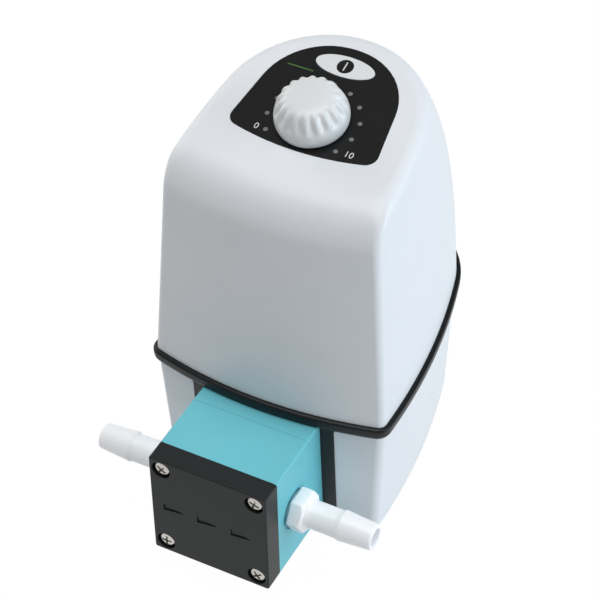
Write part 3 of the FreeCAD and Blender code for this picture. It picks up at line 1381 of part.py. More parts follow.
def make_feet_and_screws():
    """Four rubber feet in floor recesses and four long screws that close the housing."""
    feet = []
    for index, (x, y) in enumerate(rubber_places):
        high = d.foot_height + d.foot_recess
        feet.append(turned(f"rubber_foot_{index}", [(0, 0), (d.foot_radius - 0.8, 0), (d.foot_radius, 0.8),
                                                    (d.foot_radius, high), (0, high)], (x, y, 0)))
    node(group("rubber_foot_group", feet), "rubber_feet")
    screws = []
    for index, (x, y) in enumerate(posts):
        screws.append(screw(f"housing_screw_{index}", (x, y, screw_seat), None, d.housing_screw_radius,
                            d.housing_screw_length, d.housing_screw_head, d.fit_gap + 2.4))
    node(group("housing_screw_group", screws), "housing_screws")


make_head_cover()
make_cover_screws()
make_pump_head()
make_valve_plate()
make_valve_discs()
make_fittings()
make_pump_casing()
make_diaphragm()
make_connecting_rod()
make_eccentric()
make_motor()
make_motor_bracket()
make_lower_housing()
make_seal_band()
make_upper_housing()
make_control_panel()
make_knob()
make_button()
make_control_board()
make_power_supply()
make_mains_inlet()
make_feet_and_screws()
doc.recompute()

for obj in doc.Objects:
    if "Invalid" in obj.State or "Error" in obj.State:
        raise RuntimeError(f"{obj.Name} did not build: {obj.State}")
for obj in nodes:
    shape = obj.Shape
    if shape.isNull() or not shape.isValid() or not shape.Solids:
        raise RuntimeError(f"{obj.Label} has no valid solid")

os.makedirs("parts", exist_ok=True)
for obj in nodes:
    obj.Shape.exportStep(f"parts/{obj.Label}.step")
    print(obj.Label, len(obj.Shape.Solids), round(obj.Shape.Volume / 1000, 2))
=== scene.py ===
import json
import math

import bpy
from mathutils import Euler, Matrix, Vector


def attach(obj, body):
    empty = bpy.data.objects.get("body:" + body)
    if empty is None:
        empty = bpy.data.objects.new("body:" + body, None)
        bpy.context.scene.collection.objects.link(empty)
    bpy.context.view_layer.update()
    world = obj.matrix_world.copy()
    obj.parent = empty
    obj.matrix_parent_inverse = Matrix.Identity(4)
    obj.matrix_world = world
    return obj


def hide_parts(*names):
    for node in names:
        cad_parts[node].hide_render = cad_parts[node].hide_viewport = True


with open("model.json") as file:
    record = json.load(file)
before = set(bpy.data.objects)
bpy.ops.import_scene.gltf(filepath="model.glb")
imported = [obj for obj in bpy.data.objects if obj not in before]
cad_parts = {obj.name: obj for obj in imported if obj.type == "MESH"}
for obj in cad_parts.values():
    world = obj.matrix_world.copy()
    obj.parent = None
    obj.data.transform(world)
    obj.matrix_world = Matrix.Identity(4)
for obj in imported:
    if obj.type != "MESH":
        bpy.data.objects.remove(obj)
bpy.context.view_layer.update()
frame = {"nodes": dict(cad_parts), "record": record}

# Lower housing: the deep lower half of the shell, injection moulded in white ABS with a fine
# satin grain. A notch in its front takes the pump head, and four posts take the long screws
# that hold the two halves together over the rubber band.


def alone(obj):
    """Leave only this object selected and active."""
    bpy.ops.object.select_all(action="DESELECT")
    obj.select_set(True)
    bpy.context.view_layer.objects.active = obj
    return obj


def settled(obj):
    """Put an object's turn, place and size into its mesh."""
    alone(obj)
    bpy.ops.object.transform_apply(location=True, rotation=True, scale=True)
    return obj


def shaped(obj, kind, test, *steps):
    """Run edit-mode steps on the faces or edges whose middle and direction pass a test."""
    alone(obj)
    bpy.ops.object.mode_set(mode="EDIT")
    bpy.ops.mesh.select_mode(type=kind)
    bpy.ops.mesh.select_all(action="DESELECT")
    bpy.ops.object.mode_set(mode="OBJECT")
    points = obj.data.vertices
    if kind == "FACE":
        for face in obj.data.polygons:
            face.select = test(face.center, face.normal)
    else:
        for edge in obj.data.edges:
            first, second = (points[index].co for index in edge.vertices)
            edge.select = test((first + second) / 2, (second - first).normalized())
    bpy.ops.object.mode_set(mode="EDIT")
    for step in steps:
        step()
    bpy.ops.object.mode_set(mode="OBJECT")
    return obj


def everything(middle, direction):
    """The test that every face or edge passes."""
    return True


def face_out():
    """Merge corners that lie on each other and turn all faces outward."""
    bpy.ops.mesh.select_all(action="SELECT")
    bpy.ops.mesh.remove_doubles(threshold=0.0005)
    bpy.ops.mesh.normals_make_consistent(inside=False)


def modified(obj, kind, **settings):
    """Add one modifier and apply it."""
    alone(obj)
    modifier = obj.modifiers.new(kind.title(), kind)
    for name, value in settings.items():
        setattr(modifier, name, value)
    bpy.ops.object.modifier_apply(modifier=modifier.name)
    return obj


def combined(obj, operation, *tools):
    """Cut, join or trim a solid with others, which are then gone."""
    for tool in tools:
        modified(obj, "BOOLEAN", object=tool, operation=operation, solver="EXACT")
        bpy.data.objects.remove(tool, do_unlink=True)
    return obj


def block(size, middle, edge=0.0, steps=3):
    """A box of some millimetres about its middle, with its edges rounded."""
    bpy.ops.object.select_all(action="DESELECT")
    bpy.ops.mesh.primitive_cube_add(size=1, location=middle, scale=size)
    obj = settled(bpy.context.object)
    if edge:
        modified(obj, "BEVEL", width=edge, segments=steps, limit_method="NONE")
    return obj


def drum(radius, low, high, at=(0, 0), corners=48):
    """An upright cylinder between two heights."""
    bpy.ops.object.select_all(action="DESELECT")
    bpy.ops.mesh.primitive_cylinder_add(vertices=corners, radius=radius, depth=high - low,
                                        location=(at[0], at[1], (low + high) / 2))
    return settled(bpy.context.object)


def wrapped(rings, closed=False):
    """A grid bent round a form: each of its rows follows one ring of points."""
    rows = rings + rings[:1] if closed else rings
    bpy.ops.object.select_all(action="DESELECT")
    bpy.ops.mesh.primitive_grid_add(x_subdivisions=len(rows[0]), y_subdivisions=len(rows) - 1)
    obj = bpy.context.object
    points = [point for ring in rows for point in ring + ring[:1]]
    for vertex, point in zip(obj.data.vertices, points):
        vertex.co = point
    return shaped(obj, "FACE", everything, face_out)


def capped(obj, test):
    """Close an open end whose rim edges pass a test."""
    return shaped(obj, "EDGE", test, bpy.ops.mesh.edge_face_add, face_out)


def arc(centre, radius, start, end, steps):
    """Points round a centre from start towards end, without the last."""
    first = math.atan2(start.y - centre.y, start.x - centre.x)
    last = math.atan2(end.y - centre.y, end.x - centre.x)
    sweep = (last - first + math.pi) % math.tau - math.pi
    angles = [first + sweep * step / steps for step in range(steps)]
    return [centre + Vector((math.cos(angle), math.sin(angle), 0)) * radius for angle in angles]


def mirrored(half):
    """A closed outline from its right half, which starts at the front and ends at the rear."""
    return half + [Vector((-point.x, point.y, 0)) for point in reversed(half[1:-1])]


seam_half_width, seam_front, seam_rear = 60, -50.1, 98.8
seam_low, seam_high = 71.5, 77.5
wall = 3.0
widest_y = -32.2
front_bow, side_bow = 220.0, 340.0
lower_corner, least_corner = 4.8, 1.5
side_draft, front_draft, rear_draft = 0.06, 0.04, 0.05


def shell_outline(half_width, widest, front, rear, corner, inset):
    """The shell's plan: bowed front, round corners, long side arcs and one round rear."""
    front_radius = front_bow - inset
    side_radius = side_bow - inset
    corner = max(corner - inset, least_corner)
    half_width, front, rear = half_width - inset, front + inset, rear - inset
    front_centre = Vector((0, front + front_radius, 0))
    side_centre = Vector((half_width - side_radius, widest, 0))
    gap = side_centre - front_centre
    near, far = front_radius - corner, side_radius - corner
    along = (near ** 2 - far ** 2 + gap.length_squared) / (2 * gap.length)
    aside = math.sqrt(near ** 2 - along ** 2)
    forward = gap.normalized()
    corner_centre = front_centre + forward * along + Vector((-forward.y, forward.x, 0)) * aside
    reach = rear - widest
    rear_radius = (side_radius ** 2 - side_centre.x ** 2 - reach ** 2) / (2 * (side_radius - reach))
    rear_centre = Vector((0, rear - rear_radius, 0))
    apex = Vector((0, front, 0))
    front_end = front_centre + (corner_centre - front_centre).normalized() * front_radius
    side_start = side_centre + (corner_centre - side_centre).normalized() * side_radius
    side_end = side_centre + (rear_centre - side_centre).normalized() * side_radius
    tail = Vector((0, rear, 0))
    half = arc(front_centre, front_radius, apex, front_end, 14)
    half += arc(corner_centre, corner, front_end, side_start, 12)
    half += arc(side_centre, side_radius, side_start, side_end, 26)
    half += arc(rear_centre, rear_radius, side_end, tail, 20) + [tail]
    return mirrored(half)


def lower_ring(height, inset):
    """The drafted lower shell's outline at one height."""
    below = seam_high - height
    points = shell_outline(seam_half_width - side_draft * below, widest_y,
                           seam_front + front_draft * below, seam_rear - rear_draft * below,
                           lower_corner, inset)
    return [Vector((point.x, point.y, height)) for point in points]


def at_height(height):
    """A test for the flat edges at one height."""
    def test(middle, direction):
        return abs(middle.z - height) < 0.01 and abs(direction.z) < 0.01
    return test


floor_z, floor_edge = 3.0, 3.0
rings = []
for step in range(7):
    angle = math.radians(15 * step)
    rings.append(lower_ring(floor_z + floor_edge * (1 - math.cos(angle)),
                            floor_edge * (1 - math.sin(angle))))
rings += [lower_ring(height, 0) for height in (22, 38, 54, seam_low)]
lower_shell = capped(wrapped(rings), at_height(floor_z))
modified(lower_shell, "SOLIDIFY", thickness=wall, offset=-1, use_even_offset=True)

notch_half, notch_round, notch_floor = 36.9, 3.5, 6.7
inlet_z, inlet_face = 31.0, 97.575
socket_width, socket_height = 28, 21
pad_depth = 8
post_radius, head_hole, shank_hole, screw_seat = 4.5, 3.35, 1.8, 57.5
foot_hole, foot_height = 6.35, 3.8
screw_posts = [(48.6, -37), (-48.6, -37), (33, 60), (-33, 60)]
foot_places = [(37, -25), (-37, -25), (21, 76), (-21, 76)]
pad = block((38, pad_depth, 31), (0, inlet_face - pad_depth / 2, inlet_z), 1.2)
combined(lower_shell, "UNION", pad, *[drum(post_radius, 5, seam_low, at) for at in screw_posts])
combined(lower_shell, "DIFFERENCE", block((2 * notch_half, 30, 80), (0, -50, notch_floor + 40)),
         block((socket_width + 0.1, 30, socket_height + 0.1), (0, inlet_face, inlet_z)),
         *[drum(head_hole, 0, screw_seat, at) for at in screw_posts],
         *[drum(shank_hole, 50, 80, at, 24) for at in screw_posts],
         *[drum(foot_hole, 0, foot_height, at) for at in foot_places])


def notch_corner(middle, direction):
    """A test for the two edges where the notch meets the seam."""
    return (abs(abs(middle.x) - notch_half) < 0.02 and abs(middle.z - seam_low) < 0.02
            and middle.y < -40)


shaped(lower_shell, "EDGE", notch_corner,
       lambda: bpy.ops.mesh.bevel(offset=notch_round, segments=6))
shaped(lower_shell, "FACE", everything, face_out)


def display(red, green, blue):
    """A colour as a screen shows it, brought to the linear values that a shader takes."""
    parts = [value / 255 for value in (red, green, blue)]
    return [p / 12.92 if p <= 0.04045 else ((p + 0.055) / 1.055) ** 2.4 for p in parts] + [1.0]


def surface(name, colour, mottle, grain, bump, rough, stretch=(1, 1, 1), **shader_values):
    """A material with mottled colour and gloss and a fine relief. Grain is in millimetres."""
    material = bpy.data.materials.new(name)
    material.use_nodes = True
    tree = material.node_tree
    shader = tree.nodes["Principled BSDF"]
    for socket, value in shader_values.items():
        shader.inputs[socket.replace("_", " ")].default_value = value
    place = tree.nodes.new("ShaderNodeTexCoord")
    mapping = tree.nodes.new("ShaderNodeMapping")
    mapping.inputs["Scale"].default_value = stretch
    tree.links.new(place.outputs["Object"], mapping.inputs["Vector"])

    def noise(size, detail):
        """A noise texture with grains of some millimetres."""
        texture = tree.nodes.new("ShaderNodeTexNoise")
        texture.inputs["Scale"].default_value = 1000 / size
        texture.inputs["Detail"].default_value = detail
        tree.links.new(mapping.outputs["Vector"], texture.inputs["Vector"])
        return texture

    cloud = noise(24, 4)
    shades = tree.nodes.new("ShaderNodeValToRGB")
    shades.color_ramp.elements[0].position = 0.3
    shades.color_ramp.elements[1].position = 0.7
    shades.color_ramp.elements[0].color = [c * (1 - mottle) for c in colour[:3]] + [1]
    shades.color_ramp.elements[1].color = [min(c * (1 + mottle), 1) for c in colour[:3]] + [1]
    tree.links.new(cloud.outputs["Fac"], shades.inputs["Fac"])
    tree.links.new(shades.outputs["Color"], shader.inputs["Base Color"])
    pits = noise(grain, 3)
    gloss = tree.nodes.new("ShaderNodeMapRange")
    gloss.inputs["To Min"].default_value = rough[0]
    gloss.inputs["To Max"].default_value = rough[1]
    tree.links.new(pits.outputs["Fac"], gloss.inputs["Value"])
    tree.links.new(gloss.outputs["Result"], shader.inputs["Roughness"])
    relief = tree.nodes.new("ShaderNodeBump")
    relief.inputs["Strength"].default_value = bump
    relief.inputs["Distance"].default_value = 0.0002
    tree.links.new(pits.outputs["Fac"], relief.inputs["Height"])
    tree.links.new(relief.outputs["Normal"], shader.inputs["Normal"])
    return material


def piece(obj, name, material, nodes=(), body="pump_base", crease=32):
    """Bring a shaped object to metres, give it its finish and let it ride on its body."""
    obj.name = obj.data.name = name
    obj.scale = (0.001, 0.001, 0.001)
    settled(obj)
    bpy.ops.object.shade_smooth_by_angle(angle=math.radians(crease))
    modified(obj, "WEIGHTED_NORMAL", keep_sharp=True)
    obj.data.materials.clear()
    obj.data.materials.append(material)
    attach(obj, body)
    if nodes:
        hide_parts(*nodes)
    return obj


white_shell = surface("satin_white_abs", display(233, 236, 240), mottle=0.012, grain=0.55,
                      bump=0.06, rough=(0.36, 0.46))
piece(lower_shell, "lower_housing_shell", white_shell, ["lower_housing"])

# Seal band: one black rubber moulding. Its bead lies in the seam all round the shell, and its
# frame, nearly flush, seals the notch round the pump head.


def stood(obj, place):
    """Move a shaped object by a matrix."""
    obj.matrix_world = place @ obj.matrix_world
    return settled(obj)


def drawn(points, filled):
    """An outline: the corners of a circle moved to the given points."""
    bpy.ops.object.select_all(action="DESELECT")
    fill = "NGON" if filled else "NOTHING"
    bpy.ops.mesh.primitive_circle_add(vertices=len(points), radius=1, fill_type=fill)
    obj = bpy.context.object
    for corner, point in zip(obj.data.vertices, points):
        corner.co = point
    return obj


def plate(points, low, high):
    """A flat outline in X and Y extruded between two heights."""
    obj = drawn([Vector((point[0], point[1], low)) for point in points], True)
    rise = {"value": (0, 0, high - low)}
    return shaped(obj, "FACE", everything,
                  lambda: bpy.ops.mesh.extrude_region_move(TRANSFORM_OT_translate=rise), face_out)


band_proud, low_lip, high_lip = 2.4, 0.5, 0.12
bead = []
for step in range(13):
    share = step / 12
    lip = low_lip if share < 0.5 else high_lip
    bulge = band_proud * math.sqrt(max(1 - abs(2 * share - 1) ** 5, lip))
    bead.append(lower_ring(seam_low + (seam_high - seam_low) * share, -bulge))
bead += [lower_ring(seam_high, wall), lower_ring(seam_low, wall)]
seal = wrapped(bead, closed=True)

skin_low, skin_proud = 5, 0.5
skin = wrapped([lower_ring(skin_low, -skin_proud), lower_ring(seam_low, -skin_proud),
                lower_ring(seam_low, wall), lower_ring(skin_low, wall)], closed=True)
leg_inner, sill_z = 30.5, 10.5
web = []
for step in range(7):
    turn = math.radians(15 * step)
    web.append((notch_half + notch_round - notch_round * math.cos(turn),
                seam_low - notch_round + notch_round * math.sin(turn)))
outline = [(leg_inner, seam_low + 1), (leg_inner, sill_z), (-leg_inner, sill_z),
           (-leg_inner, seam_low + 1)]
outline += [(-x, z) for x, z in reversed(web)]
outline += [(-notch_half, notch_floor), (notch_half, notch_floor)] + web
front_view = Matrix.Rotation(math.radians(90), 4, "X")
combined(skin, "INTERSECT", stood(plate(outline, 30, 60), front_view))
shaped(combined(seal, "UNION", skin), "FACE", everything, face_out)
black_rubber = surface("black_seal_rubber", display(20, 23, 25), mottle=0.08, grain=0.5, bump=0.06,
                       rough=(0.34, 0.44), Specular_IOR_Level=0.28)
piece(seal, "seal_band_bead", black_rubber, ["seal_band"], crease=40)

# Upper housing: the hood, moulded in the same white ABS. Its walls lean in, the front rolls
# over softly into a flat top that rises to the rear, and a shallow recess takes the panel.

tilt = math.radians(13.37)
panel_y, panel_z = 7.4, 200.1
panel_place = Matrix.Translation((0, panel_y, panel_z)) @ Matrix.Rotation(tilt, 4, "X")
roll_radius, rim_radius, hood_corner = 16.0, 6.0, 4.0
side_lean, front_lean = 0.06, 0.08
rear_bow, rear_bow_z = 200.0, 91
full_tilt_depth = roll_radius + 4


def rounding(radius, depth):
    """How far an outline draws in at some depth under a rounded edge."""
    return radius - math.sqrt(radius ** 2 - max(radius - depth, 0.0) ** 2)


def upper_ring(depth):
    """The hood's outline in a plane at some depth under the flat top."""
    fall = panel_z - seam_high
    lean = tilt * min(1.0, (fall - depth) / (fall - full_tilt_depth))
    slope = math.tan(lean)
    height = panel_z - depth
    rise = height - seam_high
    half_width = seam_half_width - side_lean * (rise + slope * (widest_y - panel_y))
    front = (seam_front + front_lean * (rise - slope * panel_y)) / (1 - front_lean * slope)
    rear = seam_rear
    for _ in range(12):
        above = max(height + slope * (rear - panel_y) - rear_bow_z, 0.0)
        rear = seam_rear - rear_bow + math.sqrt(rear_bow ** 2 - above ** 2)
    stretch = 1 / math.cos(lean)
    side, nose = rounding(rim_radius, depth), rounding(roll_radius, depth)
    points = shell_outline(half_width - side, (widest_y - panel_y) * stretch,
                           (front - panel_y) * stretch + nose, (rear - panel_y) * stretch - side,
                           hood_corner + nose / 3, 0)
    place = Matrix.Translation((0, panel_y, height)) @ Matrix.Rotation(lean, 4, "X")
    return [place @ point for point in points]


depths = [panel_z - seam_high, 112, 100, 88, 76, 65, 55, 46, 38, 31, 25, 20, roll_radius]
depths += [roll_radius * (1 - math.cos(math.radians(turn))) for turn in range(82, 51, -6)]
depths += [rim_radius * (1 - math.cos(math.radians(turn))) for turn in range(84, -1, -6)]
hood = wrapped([upper_ring(depth) for depth in depths])


def on_top(middle, direction):
    """A test for the edges in the plane of the flat top."""
    local = panel_place.inverted() @ middle
    return abs(local.z) < 0.005


capped(hood, on_top)
modified(hood, "SOLIDIFY", thickness=wall, offset=-1, use_even_offset=True)


def panel_outline(grow):
    """The control panel's horseshoe outline about the knob, with a margin added."""
    front_bend, front_edge, half_foot = 139.0, -18.3, 36.3
    front_centre = Vector((0, front_bend + front_edge, 0))
    front_radius = front_bend + grow
    top_centre = Vector((0, -4.6, 0))
    top_radius, shoulder, corner = 48.0 + grow, 32.2 + grow, 5.7 + grow
    slope = math.radians(7.7)
    up = Vector((-math.sin(slope), math.cos(slope), 0))
    inward = Vector((-math.cos(slope), -math.sin(slope), 0))
    foot = Vector((half_foot, -8, 0)) - inward * grow

    def beside(radius, centre, reach, sense):
        """The centre of an arc that touches the straight side and another arc."""
        start = foot + inward * radius - centre
        along = start.dot(up)
        root = math.sqrt(along ** 2 - start.length_squared + reach ** 2)
        return centre + start + up * (sense * root - along)

    shoulder_centre = beside(shoulder, top_centre, top_radius - shoulder, 1)
    corner_centre = beside(corner, front_centre, front_radius - corner, -1)
    front_end = front_centre + (corner_centre - front_centre).normalized() * front_radius
    side_low = corner_centre - inward * corner
    side_high = shoulder_centre - inward * shoulder
    top_end = top_centre + (shoulder_centre - top_centre).normalized() * top_radius
    top = Vector((0, top_centre.y + top_radius, 0))
    front_middle = Vector((0, front_centre.y - front_radius, 0))
    half = arc(front_centre, front_radius, front_middle, front_end, 12)
    half += arc(corner_centre, corner, front_end, side_low, 12)
    half += [side_low] + arc(shoulder_centre, shoulder, side_high, top_end, 12)
    half += arc(top_centre, top_radius, top_end, top, 14) + [top]
    return mirrored(half)


button_y, button_long, button_short = 32.6, 14.6, 5.9


def eye_outline(grow):
    """The power button's ellipse about its own place on the panel."""
    turns = [math.tau * step / 72 for step in range(72)]
    return [Vector(((button_long + grow) * math.cos(turn),
                    button_y + (button_short + grow) * math.sin(turn), 0)) for turn in turns]


recess_floor, panel_gap, button_gap, shaft_hole = -1.0, 0.12, 0.3, 4.7
openings = [plate(panel_outline(panel_gap), recess_floor, 5), drum(shaft_hole, -12, 6),
            plate(eye_outline(button_gap), -12, 6)]
combined(hood, "DIFFERENCE", *[stood(opening, panel_place) for opening in openings])
piece(hood, "upper_housing_hood", white_shell, ["upper_housing"], crease=24)

# Control panel: a plate with a black satin print on its face, bonded into the hood's recess.
# It is open for the knob's shaft and for the button.


def eased(obj, width, segments, angle=60):
    """Round the edges that are sharper than an angle in degrees."""
    return modified(obj, "BEVEL", width=width, segments=segments, limit_method="ANGLE",
                    angle_limit=math.radians(angle))


panel_face, panel_hole, panel_eye_gap = 0.2, 4.2, 0.25
panel = eased(plate(panel_outline(0), recess_floor, panel_face), width=0.22, segments=2)
combined(panel, "DIFFERENCE", drum(panel_hole, -5, 5), plate(eye_outline(panel_eye_gap), -5, 5))
stood(panel, panel_place)
panel_black = surface("printed_panel_black", display(25, 25, 26), mottle=0.05, grain=0.35,
                      bump=0.05, rough=(0.34, 0.42), Specular_IOR_Level=0.15)
piece(panel, "control_panel_plate", panel_black, ["control_panel"])

# Indicator lenses: eleven small round windows on an arc round the knob. Each is a grey
# translucent pin pushed through the panel, a little domed on top.


def merged(objects):
    """Join several objects into the first."""
    alone(objects[0])
    for obj in objects:
        obj.select_set(True)
    bpy.ops.object.join()
    return objects[0]


def copied(obj, places):
    """A copy of a shaped object, with a mesh of its own, at each place."""
    copies = []
    for place in places:
        alone(obj)
        bpy.ops.object.duplicate()
        copies.append(stood(bpy.context.object, place))
    bpy.data.objects.remove(obj, do_unlink=True)
    return copies


lens_radius, lens_low, lens_top = 1.1, -5.0, 0.34
lens_ring, lens_pitch = 21.35, 25.08
lens = eased(drum(lens_radius, lens_low, lens_top, corners=24), width=0.16, segments=3, angle=30)
lens_places = []
for index in range(11):
    angle = math.radians(450 + lens_pitch * (5 - index))
    at = (lens_ring * math.cos(angle), lens_ring * math.sin(angle), 0)
    lens_places.append(Matrix.Translation(at))
lens_set = stood(merged(copied(lens, lens_places)), panel_place)
lens_grey = surface("indicator_grey", display(120, 122, 121), mottle=0.12, grain=0.3, bump=0.05,
                    rough=(0.25, 0.35), Subsurface_Weight=0.2,
                    Subsurface_Radius=(0.001, 0.001, 0.001))
piece(lens_set, "indicator_lens_set", lens_grey, ["indicator_lenses"])

# Dial print: the plain numbers at the two ends of the speed range and a green stroke for the
# ready state, screen printed on the panel.

print_white = surface("print_white", display(225, 226, 226), mottle=0.04, grain=0.2, bump=0.03,
                      rough=(0.4, 0.5))
print_green = surface("print_green", display(66, 108, 40), mottle=0.10, grain=0.2, bump=0.03,
                      rough=(0.4, 0.5))
number_y, number_size = -12.1, 4.6


def number(text, x):
    """One printed number, as a thin solid on the panel's face."""
    bpy.ops.object.select_all(action="DESELECT")
    bpy.ops.object.text_add(location=(x, number_y, panel_face + 0.005))
    obj = bpy.context.object
    obj.data.body = text
    obj.data.size = number_size
    obj.data.align_x = "CENTER"
    obj.data.align_y = "CENTER"
    obj.data.extrude = 0.02
    obj.data.resolution_u = 4
    bpy.ops.object.convert(target="MESH")
    return stood(settled(bpy.context.object), panel_place)


piece(number("0", -22.2), "dial_number_low", print_white)
piece(number("10", 23.8), "dial_number_high", print_white)
stroke = stood(block((13, 0.6, 0.04), (-19, 25.3, panel_face + 0.01)), panel_place)
piece(stroke, "ready_stroke", print_green)

# Speed knob: a white moulded dome with eighteen flutes that run out above a smooth skirt. It is
# pressed on the shaft of the speed control.

flutes = 18

# Each point of the profile: its radius, its height over the panel and the depth of the flutes.
knob_profile = [(15.2, 0.7, 0), (16.3, 0.7, 0), (16.7, 1.0, 0), (16.9, 1.7, 0), (17.1, 3.0, 0),
                (17.15, 4.4, 0), (17.0, 5.8, 0), (16.75, 7.0, 0.04), (16.5, 7.9, 0.22),
                (16.3, 8.5, 0.52), (16.1, 9.2, 0.86), (15.85, 10.0, 1.16), (15.5, 11.0, 1.38),
                (15.1, 12.0, 1.47), (14.6, 13.0, 1.44), (14.0, 13.9, 1.3), (13.3, 14.7, 1.06),
                (12.4, 15.45, 0.76), (11.3, 16.05, 0.44), (10.0, 16.5, 0.2), (8.6, 16.78, 0.06),
                (7.0, 16.93, 0), (5, 17.02, 0), (2.5, 17.08, 0)]
knob_rings = []
for radius, height, depth in knob_profile:
    ring = []
    for step in range(flutes * 12):
        turn = math.tau * step / (flutes * 12)
        valley = (0.5 + 0.5 * math.cos(flutes * turn)) ** 1.1
        reach = radius - depth * valley
        ring.append(Vector((reach * math.cos(turn), reach * math.sin(turn), height)))
    knob_rings.append(ring)
knob = wrapped(knob_rings)


def knob_rim(radius, height):
    """A test for the edges of one flat ring of the knob."""
    def test(middle, direction):
        return abs(middle.z - height) < 0.001 and math.hypot(middle.x, middle.y) < radius + 0.1
    return test


for radius, height, _ in (knob_profile[0], knob_profile[-1]):
    capped(knob, knob_rim(radius, height))
shaft_radius, shaft_top = 3.0, 10.5
combined(knob, "DIFFERENCE", drum(shaft_radius, 0, shaft_top))
stood(knob, panel_place)
knob_white = surface("knob_white", display(226, 228, 229), mottle=0.012, grain=0.4, bump=0.05,
                     rough=(0.30, 0.38))
piece(knob, "speed_knob_dome", knob_white, ["speed_knob"], body="knob", crease=50)

# Power button: an eye-shaped white key that sits flush in the panel and presses a switch on
# the board below. Its round black mark with a white stroke is printed.

button_low, button_face = -3.0, 0.4
button = eased(plate(eye_outline(0), button_low, button_face), width=0.3, segments=3)
flange = plate(eye_outline(1.2), button_low - 1, button_low - 0.05)
combined(button, "UNION", flange, drum(2.0, -5.5, -3.5, (0, button_y)))
stood(button, panel_place)
piece(button, "power_button_key", knob_white, ["power_button"], body="button")
mark = drum(3.95, button_face - 0.02, button_face + 0.03, (0, button_y), 64)
stood(mark, panel_place)
piece(mark, "power_mark_disc", panel_black, body="button")
bar = stood(block((0.6, 5.0, 0.05), (0, button_y, button_face + 0.04)), panel_place)
piece(bar, "power_mark_stroke", print_white, body="button")

# Pump casing and pump head: two teal blocks of filled polymer, clamped together. The casing
# enters the housing; the head holds the valves and has a spot-faced port in each side.

head_z, head_width = 41.0, 60.6


def square_block(front, rear):
    """One block of the head's square stack, with its long edges rounded."""
    obj = block((head_width, rear - front, head_width), (0, (front + rear) / 2, head_z))
    return shaped(obj, "EDGE", lambda middle, direction: abs(direction.y) > 0.9,
                  lambda: bpy.ops.mesh.bevel(offset=1.2, segments=4))


port_y = -73.4
port_axis = Matrix.Translation((0, port_y, head_z)) @ Matrix.Rotation(math.radians(90), 4, "Y")
to_rear = Matrix.Rotation(math.radians(-90), 4, "X")


def along_head(x, z, radius, front, rear, corners=32):
    """A cylinder that runs from front to rear through the head's stack."""
    place = Matrix.Translation((x, 0, z)) @ to_rear
    return stood(drum(radius, front, rear, corners=corners), place)


casing_front, casing_rear = -58.92, -38.0
casing = eased(square_block(casing_front, casing_rear), width=0.12, segments=2)
casing_bore, diaphragm_seat = 20, 26.2
combined(casing, "DIFFERENCE", along_head(0, head_z, casing_bore, -70, -30, 64),
         along_head(0, head_z, diaphragm_seat, -60, -57, 64))
head_front, head_rear = -89.3, -59.0
head = eased(square_block(head_front, head_rear), width=0.12, segments=2)
spot_radius, port_radius, valve_plate_bore = 10.65, 6.55, 22.95
spot_faces = [stood(drum(spot_radius, low, low + 2), port_axis) for low in (29.8, -31.8)]
ports = [stood(drum(port_radius, low, low + 12), port_axis) for low in (18.8, -30.8)]
combined(head, "DIFFERENCE", *spot_faces, *ports,
         along_head(0, head_z, valve_plate_bore, -66, -50, 64))
teal = surface("teal_filled_polymer", display(110, 198, 211), mottle=0.015, grain=0.5, bump=0.06,
               rough=(0.42, 0.52))
piece(casing, "pump_casing_block", teal, ["pump_casing"], crease=40)
piece(head, "pump_head_block", teal, ["pump_head"], crease=40)

# Head cover: the black front plate, moulded in glass-filled plastic with a fine grain. Four sunk
# screws clamp it, and three sunk marks show the way the liquid flows.

cover_face, cover_seat = -100.2, -96.6
screw_axes = [(24, 24), (24, -24), (-24, -24), (-24, 24)]
cover = square_block(cover_face, head_front)
shaped(cover, "EDGE", lambda middle, direction: middle.y < -100 and abs(direction.y) < 0.1,
       lambda: bpy.ops.mesh.bevel(offset=0.7, segments=4))
eased(cover, width=0.2, segments=2)
sink_radius, screw_hole = 4.75, 2.3
for x, z in screw_axes:
    combined(cover, "DIFFERENCE", along_head(x, head_z + z, sink_radius, -101, cover_seat, 48),
             along_head(x, head_z + z, screw_hole, -99, -85))
mark_pitch, mark_length, mark_half, mark_depth = 17.7, 11, 2.1, 0.6
for index in range(3):
    tail = mark_pitch * index - 24
    corners = [(tail, mark_half), (tail, -mark_half), (tail + mark_length, -0.5)]
    flag = plate(corners, -cover_face - mark_depth, 101)
    combined(cover, "DIFFERENCE", stood(flag, Matrix.Translation((0, 0, head_z)) @ front_view))
cover_black = surface("grained_black_cover", display(33, 36, 36), mottle=0.05, grain=0.35,
                      bump=0.10, rough=(0.38, 0.48), Specular_IOR_Level=0.24)
piece(cover, "head_cover_plate", cover_black, ["head_cover"], crease=40)

# Cover screws: four long stainless pan head screws with cross recesses. They pass through the
# whole head into the bracket inside the housing.


def spun(profile, steps=48):
    """A closed profile of (radius, height) points spun once about Z."""
    obj = drawn([Vector((radius, 0, height)) for radius, height in profile], False)
    return shaped(obj, "EDGE", everything,
                  lambda: bpy.ops.mesh.spin(steps=steps, angle=math.tau, center=(0, 0, 0),
                                            axis=(0, 0, 1)), face_out)


def pan_screw(radius, length, head_radius, head_height):
    """A screw with a domed head and a cross recess, its shank along +Z."""
    dome = [(0.0, -head_height)]
    for step in range(1, 9):
        turn = math.radians(90 * step / 8)
        dome.append((head_radius * math.sin(turn), -head_height * (0.68 + 0.32 * math.cos(turn))))
    profile = dome + [(head_radius, 0), (radius, 0), (radius, length - 0.6), (radius - 0.5, length),
                      (0, length)]
    screw = spun(profile, 40)
    slot_length, slot_width = head_radius * 1.25, head_radius * 0.27
    for turn in (0, 90):
        arm = block((slot_length, slot_width, head_height), (0, 0, -head_height), 0.1, 2)
        stood(arm, Matrix.Rotation(math.radians(turn + 20), 4, "Z"))
        combined(screw, "DIFFERENCE", arm)
    return screw


